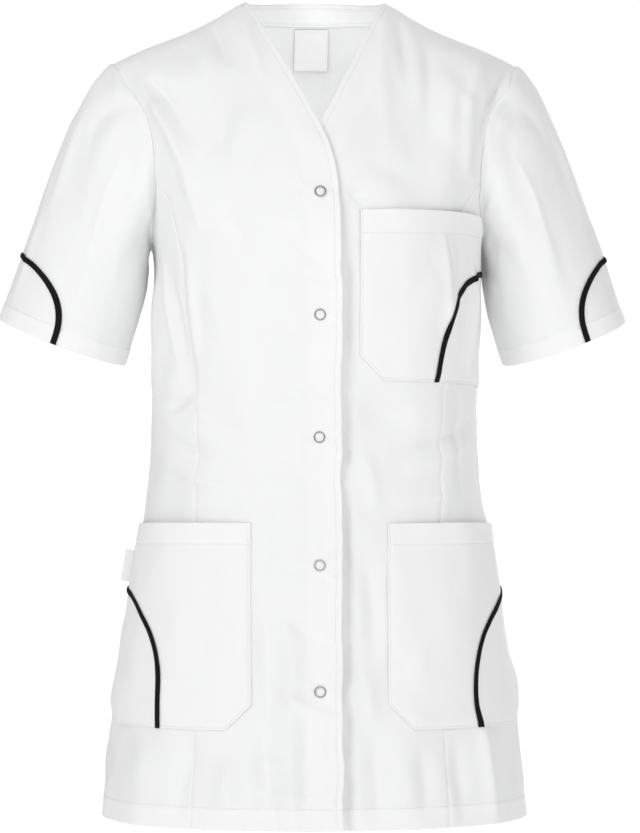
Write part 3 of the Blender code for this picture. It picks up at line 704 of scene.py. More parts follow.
FRONT_FOLDS = folds(
    (-133, -76, -108, -158, 9, 3.2),
    (-118, -66, -88, -120, 10, -1.8),
    (128, -74, 127, -136, 8, 3),
    (112, -60, 90, -130, 11, 1.6),
    (-120, -262, -112, -322, 9, -2),
    (120, -345, 108, -385, 10, -1.8),
    (-78, -655, -82, -705, 17, 3),
    (70, -640, 74, -705, 18, 2.6),
    (142, -630, 150, -705, 14, 3.6),
    (-146, -640, -150, -705, 14, 2.8),
)
BACK_FOLDS = folds(
    (-70, -320, -74, -470, 12, -2.6),
    (72, -315, 73, -480, 12, -2.6),
    (-125, -90, -90, -180, 12, 3),
    (130, -80, 94, -165, 11, 3.2),
    (-48, -560, -56, -705, 19, 4),
    (30, -600, 33, -705, 17, 3.2),
    (110, -570, 118, -705, 18, 3.8),
    (-122, -620, -130, -705, 16, 3),
)
FRONT_CREASES = creases(
    (-158, -34, -134.5, -82, -105, -160, 6.2, 7, 1.5),
    (-147, -41, -129.5, -61.5, -104, -128, 8.5, -6),
    (-118, -140, -104, -172, -98, -205, 6, 2.9),
    (172, -12, 147, -62, 138, -112, 3.4, -5.6, 1.6),
    (176, -14, 153, -64, 142, -108, 4, 3.9),
    (150, -10, 132, -40, 128, -90, 9, 3.1),
    (124, -50, 112, -80, 108, -120, 7, 2.5),
    (-90, -6, -86, -30, -72, -62, 4, -4.6),
    (-101, -10, -94, -40, -86, -70, 6, 2.9),
    (-66, -10, -60, -40, -46, -85, 6.5, 3.6),
    (72, -8, 78, -38, 75, -82, 5.5, -3.6),
    (84, -16, 89, -50, 86, -100, 8.5, 3.1),
    (60, -14, 60, -40, 50, -78, 5.5, 2.5),
    (22, -171, 30, -176, 40, -182, 4, -4.6),
    (101, -186, 112, -246, 103, -312, 6, 3.9, 1.4),
    (117, -190, 122, -235, 116, -290, 5.5, -2.9),
    (131, -214, 135, -262, 127, -322, 4.2, 4.7, 1.4),
    (124.5, -222, 127, -270, 119, -326, 5, -3.4),
    (-134, -214, -129, -258, -117, -326, 4.5, 4.2, 1.4),
    (-126, -228, -122, -270, -110, -315, 5, -3.9),
    (139, -352, 105, -378, 56, -392, 6.5, -3.6),
    (136, -372, 100, -396, 70, -400, 5.5, 3.1),
    (132, -418, 100, -428, 60, -424, 7, 2.9),
    (-138, -362, -104, -392, -50, -404, 7, -3.6),
    (-136, -384, -106, -412, -66, -418, 5.5, 3.4),
    (-130, -330, -108, -346, -80, -350, 6, 2.3),
    (-70, -240, -60, -300, -66, -372, 11, 2.5),
    (-36, -420, -40, -480, -34, -560, 9, 2.9),
    (-52, -600, -43, -655, -41, -702, 9.5, -7.5),
    (-14, -585, -10, -640, -15, -700, 9, -4.4),
    (-26, -590, -22, -650, -24, -702, 9, 4.6),
    (-106, -622, -116, -660, -120, -702, 8.5, -4.6),
    (-117.5, -206, -111, -275, -106.5, -338, 2.4, -4.6, 1.6),
    (-113, -205, -106, -270, -101, -330, 5, 3.1),
    (-132, -352, -118, -350, -102, -330, 3.8, -4.6, 1.6),
    (-52, -500, -40, -560, -44, -640, 10, -6, 1.6),
    (-30, -505, -20, -560, -26, -620, 8, 4.6),
    (-42, -508, -20, -535, 8, -548, 5, -3.9, 1.5),
    (-40, -575, -16, -602, 12, -606, 6, 3.9, 1.6),
    (-56, -640, -30, -650, 4, -640, 6.5, -4.2),
    (-60, -660, -30, -676, 0, -668, 6, 3.9),
    (-30, -200, -10, -228, 12, -236, 5, -3.1),
    (-44, -248, -20, -238, 10, -252, 6.5, 3.5, 1.6),
    (-48, -292, -20, -300, 10, -290, 6.5, -3.1),
    (-36, -330, -12, -345, 14, -338, 6, 3.1),
    (-50, -398, -20, -412, 12, -402, 7, -3.5),
    (-88, -180, -70, -196, -60, -224, 9, -3.5),
    (-98, -245, -84, -262, -80, -300, 9, 3.1),
    (-100, -350, -80, -368, -56, -362, 8, -3.1),
    (-60, -100, -70, -130, -66, -170, 10, 2.9),
    (-76, -60, -84, -100, -78, -140, 9, -3.1),
    (94, -30, 98, -80, 90, -150, 10, -3.9),
    (50, -50, 60, -90, 56, -150, 9, 2.9),
    (40, -150, 60, -160, 84, -156, 8, -2.5),
    (30, -350, 60, -362, 80, -350, 8, -3.5),
    (32, -380, 50, -410, 46, -440, 7.5, 3.5),
    (126, -340, 118, -372, 122, -430, 6, -4.2),
    (36, -470, 48, -510, 44, -570, 8, -3.9),
    (34, -560, 46, -590, 40, -640, 8, 3.9),
    (78, -630, 90, -655, 86, -690, 8, -3.9),
    (-80, -640, -74, -662, -78, -690, 7, 3.9),
    (40, -600, 50, -660, 48, -702, 10.5, -7),
    (112, -620, 118, -660, 120, -702, 7.5, -4.6),
    (134, -600, 139, -650, 148, -702, 5, 5.1, 1.4),
)
BACK_CREASES = creases(
    (-60, -386, -5, -404, 50, -388, 7.5, 6.1, 1.5),
    (-50, -410, 5, -428, 62, -410, 7, -5.1),
    (-36, -432, 14, -446, 58, -434, 7, 4.2, 1.5),
    (-98, -360, -80, -386, -40, -392, 6.5, 3.6),
    (100, -352, 80, -380, 46, -384, 6.5, 3.6),
    (-138, -215, -118, -262, -76, -318, 8, 6.1, 1.5),
    (-140, -240, -124, -288, -94, -330, 6, -3.9),
    (139, -210, 112, -250, 70, -300, 8, 6.1, 1.5),
    (140, -236, 122, -276, 88, -322, 6, -3.9),
    (-152, -110, -132, -150, -118, -205, 6, 4.6, 1.4),
    (151, -100, 130, -146, 114, -196, 6, 4.7, 1.4),
    (-60, -16, -30, -40, 10, -44, 9, 2.9),
    (80, -20, 62, -60, 60, -110, 10, 2.9),
    (-92, -30, -80, -70, -82, -120, 10, 2.9),
    (-12, -480, -16, -560, -10, -640, 12, -5.1),
    (78, -560, 72, -630, 74, -702, 11, -5.6),
    (-90, -580, -88, -640, -92, -702, 11, -5.1),
    (142, -600, 148, -650, 154, -702, 8, -4.2),
)


class BodySurface(Surface):
    """The outer surface of one half of the body."""

    LOWEST, LEVELS, TURNS = -0.702, 703, 320  # the tables' lowest level, and their rows and columns
    WIDEST = 0.58 * math.pi  # the last turn, a little beyond the side seam
    MARK, LONGEST = 0.0005, 0.34  # the turn table's step and end, as girths
    ROLL = {Half.FRONT: (1.55, 0.6, 0.12), Half.BACK: (3.0, -0.8, 0.11)}  # power in the middle, its change, its width
    ROLL_START = 0.06  # where the power of the roll over the shoulder starts to change
    NECK_ROLL, NECK_END, NECK_FADE = 7.0, 0.07, 0.04  # the back's power at the neck, and where it ends
    NECK_DEPTH, NECK_EASE = 0.085, 0.003  # how far behind the neck's base lies, and its rounding
    SOFT: Table = ((0.0015, 0.034, 0.100), (0.0023, 0.050, 0.046), (0.0009, 0.021, 0.026))  # height, width, length
    SEEDS = {Half.FRONT: 11, Half.BACK: 47}

    def __init__(self, half: Half) -> None:
        """Measures the half's cross-sections.

        Args:
            half: Which half it is.
        """
        self.half = half
        self.outward = -half.value
        column = 0 if half is Half.FRONT else 1
        levels = [row[0] for row in BODY]
        self.width = SmoothCurve(levels, [row[1 + column] for row in BODY])
        self.depth = SmoothCurve(levels, [row[3 + column] for row in BODY])
        self.ridge = SmoothCurve([row[0] for row in SHOULDER], [row[1 + column] for row in SHOULDER])
        self.turns = np.linspace(0.0, self.WIDEST, self.TURNS)
        self.levels = np.linspace(self.LOWEST, 0.0, self.LEVELS)
        across, away = self._section(self.turns, self.levels[:, None])
        steps = np.hypot(np.diff(across, axis=1), np.diff(away, axis=1))
        self.girths = np.concatenate([np.zeros((self.LEVELS, 1)), np.cumsum(steps, axis=1)], axis=1)
        marks = np.arange(0.0, self.LONGEST, self.MARK)
        self.turn_table = np.array([np.interp(marks, row, self.turns) for row in self.girths])
        folds = FRONT_FOLDS + FRONT_CREASES if half is Half.FRONT else BACK_FOLDS + BACK_CREASES
        self.creases = [(crease, self._laid(crease)) for crease in folds]

    def _section(self, turn: Array, level: Array) -> tuple[Array, Array]:
        """Gives the cross-sections' distances from the middle and from the side seams' plane.

        Args:
            turn: Turns from the centre line.
            level: Levels.

        Returns:
            The distances across and away.
        """
        power = 2 / FULLNESS
        across = self.width(level) * np.sign(turn) * np.abs(np.sin(turn)) ** power
        return across, self.depth(level) * np.sign(np.cos(turn)) * np.abs(np.cos(turn)) ** power

    def _laid(self, crease: Crease) -> Array:
        """Turns a crease's distances from the middle into girths."""
        line = np.array([crease.start, crease.bend, crease.end])
        return np.stack([self.girth_at(line[:, 0], line[:, 1]), line[:, 1]], axis=1)

    def _read(self, table: Array, level: Array, column: Array) -> Array:
        """Reads a table of levels by columns.

        Args:
            table: One row a level.
            level: The levels to read at.
            column: The columns to read at, as numbers of columns.

        Returns:
            The values between the nearest rows and columns.
        """
        row = (np.clip(level, self.LOWEST, 0.0) - self.LOWEST) / (self.levels[1] - self.levels[0])
        row_at = np.clip(row.astype(int), 0, self.LEVELS - 2)
        column_at = np.clip(column.astype(int), 0, table.shape[1] - 2)
        rise, part = row - row_at, np.clip(column - column_at, 0.0, 1.0)
        low = table[row_at, column_at] * (1 - part) + table[row_at, column_at + 1] * part
        high = table[row_at + 1, column_at] * (1 - part) + table[row_at + 1, column_at + 1] * part
        return low * (1 - rise) + high * rise

    def girth_at(self, across: Array | float, level: Array | float) -> Array:
        """Gives the girth of places whose distance from the middle plane is known.

        Args:
            across: Distances from the middle plane.
            level: Their levels.

        Returns:
            The girths.
        """
        across, level = np.broadcast_arrays(np.asarray(across, float), np.asarray(level, float))
        share = np.clip(np.abs(across) / self.width(level), 0.0, 1.0) ** (FULLNESS / 2)
        column = np.arcsin(share) / (self.turns[1] - self.turns[0])
        return self._read(self.girths, level, column) * np.sign(across)

    def side_girth(self, level: Array | float) -> Array:
        """Gives the girth from the centre line to the side seam."""
        level = np.asarray(level, float)
        return self._read(self.girths, level, np.full(level.shape, 0.5 * math.pi / (self.turns[1] - self.turns[0])))

    def bare(self, girth: Array, level: Array) -> Array:
        """Gives points of the surface without its folds.

        Args:
            girth: Girths of the places.
            level: Levels of the places.

        Returns:
            One point a place.
        """
        turn = self._read(self.turn_table, level, np.abs(girth) / self.MARK) * np.sign(girth)
        across, away = self._section(turn, level)
        out = np.abs(across)
        rise = np.clip(1 - level / UNDERARM, 0.0, 1.0)
        power, change, width = self.ROLL[self.half]
        roll = power + change * smooth((out - self.ROLL_START) / width)
        keep = (1 - rise**roll) ** (1 / roll)
        top_away = -SEAM / 2
        if self.half is Half.BACK:
            at_neck = 1 - smooth((out - self.NECK_END) / self.NECK_FADE)
            keep = keep * (1 - at_neck) + (1 - rise**self.NECK_ROLL) * at_neck
            arch = self.NECK_DEPTH * (1 - (out / NECK) ** 2)
            top_away = 0.5 * (arch + np.sqrt(arch**2 + self.NECK_EASE**2)) + SEAM / 2
        depth = self.half.value * away * keep + top_away * (1 - keep)
        height = np.where(rise > 0, UNDERARM + rise * (self.ridge(out) - UNDERARM), level)
        return np.stack([across, depth, height], axis=-1)

    def relief(self, girth: Array, level: Array) -> Array:
        """Gives the heights of the folds, the creases and the cloth's soft unevenness.

        Args:
            girth: Girths of the places.
            level: Levels of the places.

        Returns:
            The heights.
        """
        total = np.zeros(girth.shape)
        for crease, line in self.creases:
            total += crease.relief(girth, level, line)
        soft = np.zeros(girth.shape)
        for seed, (height, width, length) in enumerate(self.SOFT, start=self.SEEDS[self.half]):
            soft += height * lumps(girth, level, width, length, seed)
        return total + soft * smooth((self.side_girth(level) - np.abs(girth)) / 0.020) * smooth(-level / 0.030)


FRONT = BodySurface(Half.FRONT)
BACK = BodySurface(Half.BACK)


# ---- making cloth and sewing

LEAST_SIDE = 0.01  # the smallest flat side of a sheet
EDGE = (0.0, 0.00025, 0.0007, 0.0015, 0.0028)  # distances from an edge whose rounding the cloth's mesh follows


@dataclass
class ClothGrid:
    """A grid of points of one piece of cloth, on its outside and its inside.

    The flat places are in metres on the uncut cloth, and layers says where it lies double.
    """

    outer: Array
    inner: Array
    flat: Array
    layers: Array
    tube: bool = False

    def middle(self) -> Array:
        """Gives the points of the middle of the cloth, closed on a tube."""
        middle = (self.outer + self.inner) / 2
        return np.concatenate([middle, middle[:, :1]], axis=1) if self.tube else middle

    def area(self) -> float:
        """Gives the area of the middle of the cloth.

        Returns:
            The area in square metres.
        """
        middle = self.middle()
        a, b, c, d = middle[:-1, :-1], middle[:-1, 1:], middle[1:, 1:], middle[1:, :-1]
        halves = np.linalg.norm(np.cross(b - a, c - a), axis=-1) + np.linalg.norm(np.cross(c - a, d - a), axis=-1)
        return float(halves.sum() / 2)

    def faces(self) -> Array:
        """Gives the closed wall's faces.

        Returns:
            Each face's four corners, as numbers of points.
        """
        rows, columns = self.outer.shape[:2]
        number = np.arange(rows * columns).reshape(rows, columns)
        wide = np.concatenate([number, number[:, :1]], axis=1) if self.tube else number
        behind = rows * columns
        out = np.stack([wide[:-1, :-1], wide[:-1, 1:], wide[1:, 1:], wide[1:, :-1]], axis=-1).reshape(-1, 4)
        lines = [(wide[0, 1:], wide[0, :-1]), (wide[-1, :-1], wide[-1, 1:])]
        if not self.tube:
            lines += [(number[:-1, 0], number[1:, 0]), (number[1:, -1], number[:-1, -1])]
        rims = [np.stack([a, b, b + behind, a + behind], axis=-1) for a, b in lines]
        faces = np.concatenate([out, out[:, ::-1] + behind, *rims])
        row, column = rows // 2, columns // 2
        here, wall = self.outer[row, column], self.outer[row, column] - self.inner[row, column]
        facing = np.cross(self.outer[row - 1, column] - here, self.outer[row, column - 1] - here)
        return faces if facing @ wall >= 0 else faces[:, ::-1]

    def build(self, name: str, finish: Finish) -> Piece:
        """Makes the closed wall as an object.

        Args:
            name: The object's name.
            finish: Its finish.

        Returns:
            The object, dressed, with its flat places as a UV map.
        """
        points, faces = np.concatenate([self.outer.reshape(-1, 3), self.inner.reshape(-1, 3)]), self.faces()
        item = add_mesh(name, points, faces.tolist(), finish)
        flat = np.concatenate([self.flat.reshape(-1, 2)] * 2)[faces.reshape(-1)]
        item.data.uv_layers.new(name="flat").data.foreach_set("uv", flat.astype(np.float32).ravel())
        layers = item.data.attributes.new("layers", "FLOAT", "POINT")
        layers.data.foreach_set("value", np.concatenate([self.layers.ravel()] * 2).astype(np.float32))
        return item


def add_object(name: str, data: bpy.types.ID) -> Piece:
    """Adds an object to the scene.

    Args:
        name: Its name.
        data: Its mesh, light or camera.

    Returns:
        The object.
    """
    item = bpy.data.objects.new(name, data)
    bpy.context.scene.collection.objects.link(item)
    return item


def add_mesh(name: str, points: Array, faces: list[Sequence[int]], finish: Finish) -> Piece:
    """Adds a smooth-shaded mesh to the scene.

    Args:
        name: Its name.
        points: Its points.
        faces: Its faces' corners.
        finish: Its finish.

    Returns:
        The object.
    """
    mesh = bpy.data.meshes.new(name)
    mesh.from_pydata(points.tolist(), [], faces)
    mesh.shade_smooth()
    mesh.materials.append(finish.material())
    return add_object(name, mesh)


def show(item: Piece, finish: Finish, *nodes: str) -> Piece:
    """Fixes a piece to the tunic and hides the solids that it stands for.

    Args:
        item: The piece.
        finish: Not used.
        *nodes: The solids' names.

    Returns:
        The piece.
    """
    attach(item, "root")
    if nodes:
        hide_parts(*nodes)
    return item


def lay_sheet(
    grid: ClothGrid,
    name: str,
    finish: Finish,
    rests_on: str,
    sewing: Sequence[Piece] = (),
) -> None:
    """Makes a cut piece of cloth and logs its flat size.

    Args:
        grid: The piece's points.
        name: The name of the solid that it replaces.
        finish: Its finish.
        rests_on: Not used.
        sewing: Not used.
    """
    item = show(grid.build(name + "_cloth", finish), finish, name)
    middle = grid.middle()
    width = float(np.linalg.norm(np.diff(middle, axis=1), axis=-1).sum(axis=1).max())
    climb = np.linalg.norm(np.diff(middle, axis=0), axis=-1) ** 2
    if not grid.tube:
        climb -= np.diff(grid.flat[..., 0], axis=0) ** 2  # a slanted edge's own sideways part doesn't count
    length = float(np.sqrt(np.maximum(climb, 0.0)).sum(axis=0).max())
    width, length = max(width, LEAST_SIDE), max(length, LEAST_SIDE)
    flat = (round(width, 3), round(length, 3))
    area = min(round(min(grid.area(), width * length), 5), flat[0] * flat[1])
    LOG.info("%s: flat %.3f x %.3f m, %.4f m2", item.name, flat[0], flat[1], area)


def spread(low: float, high: float, pitch: float, marks: Sequence[float]) -> Array:
    """Spreads places evenly between two ends and adds closer ones at marks.

    Args:
        low: The lower end.
        high: The upper end.
        pitch: The even distance.
        marks: Places that are kept exactly; even places next to them are dropped.

    Returns:
        The places in rising order.
    """
    even = np.linspace(low, high, max(2, round((high - low) / pitch) + 1))
    kept = np.unique([mark for mark in marks if low <= mark <= high] + [low, high])
    clear = np.abs(even[:, None] - kept[None, :]).min(axis=1) > 0.45 * pitch
    return np.unique(np.concatenate([even[clear], kept]))


def beside(*places: float) -> list[float]:
    """Gives the distances across sewn lines whose grooves the cloth's mesh follows."""
    return [place + step for place in places for step in (-0.0013, -0.0006, 0.0, 0.0006, 0.0013)]


def columns(start: Array, end: Array, near: Sequence[float], far: Sequence[float], pitch: float) -> Array:
    """Spreads columns between two edges, closer together beside them.

    Args:
        start: The first edge's girth at each row.
        end: The second edge's girth at each row.
        near: Distances of columns from the first edge.
        far: Distances of columns from the second edge.
        pitch: The distance between the other columns where the piece is widest.

    Returns:
        The girths of the grid.
    """
    width = (end - start)[:, None]
    near, far = np.array(sorted(near)), np.array(sorted(far))
    shrink = np.minimum(1.0, 0.9 * width / (near[-1] + far[-1]))
    count = max(3, round((float(width.max()) - near[-1] - far[-1]) / pitch))
    middle = np.linspace(0.0, 1.0, count + 1)[1:-1]
    first, last = near * shrink, width - far[::-1] * shrink
    between = first[:, -1:] + middle * (last[:, :1] - first[:, -1:])
    return start[:, None] + np.concatenate([first, between, last], axis=1)


@dataclass
class Seamwork:
    """Rows of thread stitches, gathered into one piece."""

    name: str
    pitch: float = 0.0030
    length: float = 0.0023
    width: float = 0.00052
    height: float = 0.00034
    sink: float = 0.00002
    parts: list[Array] = field(default_factory=list)

    RING = ((0.5, -0.1), (0.0, 1.0), (-0.5, -0.1), (0.0, -1.0))  # a stitch's cross-section
    SHAPE = np.array([(-0.5, 0.0, -0.9), *((-0.3, *p) for p in RING), *((0.3, *p) for p in RING), (0.5, 0.0, -0.9)])
    FACES = (
        *((0, 1 + (k + 1) % 4, 1 + k) for k in range(4)),
        *((1 + k, 1 + (k + 1) % 4, 5 + (k + 1) % 4, 5 + k) for k in range(4)),
        *((9, 5 + k, 5 + (k + 1) % 4) for k in range(4)),
    )

    def row(self, points: Array, normals: Array) -> None:
        """Sews a row of stitches along a line.

        Args:
            points: Points of the line, on the cloth.
            normals: The cloth's outward direction at each.
        """
        steps = np.linalg.norm(np.diff(points, axis=0), axis=1)
        run = np.concatenate([[0.0], np.cumsum(steps)])
        count = int(run[-1] // self.pitch)
        if count < 1:
            return
        marks = (np.arange(count) + 0.5) * run[-1] / count
        uneven = np.random.default_rng(count).uniform(-0.06, 0.06, (count, 2))
        centre = self._along(points, run, marks)
        ahead = self._along(points, run, marks + self.length / 2)
        behind = self._along(points, run, marks - self.length / 2)
        out = self._along(normals, run, marks)
        out /= np.linalg.norm(out, axis=1, keepdims=True)
        line = ahead - behind
        line /= np.linalg.norm(line, axis=1, keepdims=True)
        across = np.cross(out, line)
        line = line + across * uneven[:, :1]
        centre = centre + out * (self.height / 2 - self.sink)
        shape = self.SHAPE * (self.length, self.width, self.height / 2)
        for middle, a, b, c in zip(centre, line, across, out):
            self.parts.append(middle + shape[:, :1] * a + shape[:, 1:2] * b + shape[:, 2:] * c)

    @staticmethod
    def _along(values: Array, run: Array, marks: Array) -> Array:
        """Reads a line's values at lengths along it."""
        return np.stack([np.interp(marks, run, values[:, k]) for k in range(3)], axis=1)

    def build(self) -> Piece:
        """Makes all the stitches as one piece.

        Returns:
            The piece, fixed to the tunic.
        """
        corners = len(self.SHAPE)
        faces = [tuple(corner + corners * k for corner in face) for k in range(len(self.parts)) for face in self.FACES]
        item = add_mesh(self.name, np.concatenate(self.parts), faces, THREAD)
        LOG.info("%s: %d stitches", self.name, len(self.parts))
        return show(item, THREAD)


# ---- the body's panels


@dataclass(frozen=True)
class Placket:
    """The overlap of the two fronts and how far the upper one stands out from the lower one."""

    lift: float = 0.0038
    inner: float = 0.015
    outer: float = 0.045
    low: float = -0.115
    high: float = -0.055
    curl: float = 0.0016
    curl_reach: float = 0.013
    trough: float = 0.0026
    trough_at: float = 0.0225
    trough_width: float = 0.0052
    stitch: float = 0.0052
    facing: float = 0.031
    wave: float = 0.0010
    low_start: float = -0.205

    def below_neck(self, level: Array) -> Array:
        """Gives a share that rises from 0 at the neck's point to 1 below it."""
        return smooth((-0.150 - level) / 0.060)

    def waviness(self, level: Array) -> Array:
        """Gives how far the upper front's edge strays sideways."""
        stray = lumps(level, 0 * level, 0.030, 1.0, 77) + 0.5 * lumps(level, 0 * level, 0.0125, 1.0, 78)
        return self.wave * stray * self.below_neck(level)

    def unevenness(self, level: Array) -> Array:
        """Gives how much the edge lifts at each level, about 1."""
        return 1 + 0.45 * lumps(level, 0 * level, 0.021, 1.0, 81) + 0.35 * lumps(level, 0 * level, 0.0085, 1.0, 83)

    def raised(self, girth: Array, level: Array) -> Array:
        """Gives how far the upper front stands out, from its girth on its own side."""
        near = smooth((self.outer - girth) / (self.outer - self.inner))
        return self.lift * near * smooth((self.high - level) / (self.high - self.low))


@dataclass(frozen=True)
class PatternEdges:
    """The panels' edges, each as a curve from level to distance from the middle."""

    front_edge: SmoothCurve = SmoothCurve(
        (-0.700, -0.450, -0.250, -0.185, -0.158, -0.125, -0.100, -0.050, 0.000),
        (-0.0190, -0.0182, -0.0175, -0.0165, -0.0138, -0.0035, 0.0100, 0.0358, PEAK),
    )
    princess_line: SmoothCurve = SmoothCurve(
        (-0.700, -0.610, -0.520, -0.420, -0.340, -0.280, -0.230, -0.195, -0.170, -0.1466),
        (0.1080, 0.1040, 0.1030, 0.1035, 0.1050, 0.1095, 0.1155, 0.1205, 0.1275, 0.1402),
    )
    front_armhole: SmoothCurve = SmoothCurve(
        (-0.205, -0.188, -0.152, -0.118, -0.092, -0.066, -0.031, 0.000),
        (0.1430, 0.1420, 0.1400, 0.1410, 0.1445, 0.1530, 0.1690, 0.1780),
    )
    back_armhole: SmoothCurve = SmoothCurve(
        (-0.205, -0.188, -0.152, -0.118, -0.092, -0.066, -0.031, 0.000),
        (0.1430, 0.1465, 0.1550, 0.1600, 0.1622, 0.1655, 0.1720, 0.1780),
    )
    princess_top: float = -0.1466

    def front_inner(self, level: Array) -> Array:
        """Gives the girth of a front's edge at the neck and the placket."""
        return FRONT.girth_at(self.front_edge(level), level)

    def princess(self, level: Array) -> Array:
        """Gives the girth of the princess seam."""
        return FRONT.girth_at(self.princess_line(level), level)

    def front_outer(self, level: Array) -> Array:
        """Gives the girth of a front's outer edge: the armhole, and below it the princess seam."""
        armhole = FRONT.girth_at(self.front_armhole(level), level)
        return np.where(level > self.princess_top, armhole, self.princess(level) - SEAM / 2)

    def side_outer(self, level: Array) -> Array:
        """Gives the girth of a side front's outer edge: the armhole, and below it the side seam."""
        armhole = FRONT.girth_at(self.front_armhole(level), level)
        return np.where(level > UNDERARM, armhole, FRONT.side_girth(level) - SEAM / 2)

    def back_outer(self, level: Array) -> Array:
        """Gives the girth of the back's edge: the armhole, and below it the side seam."""
        armhole = BACK.girth_at(self.back_armhole(level), level)
        return np.where(level > UNDERARM, armhole, BACK.side_girth(level) - SEAM / 2)


EDGES = PatternEdges()
PLACKET = Placket()
SNAP_LEVELS = (-0.1746, -0.2723, -0.3738, -0.4814, -0.5849)


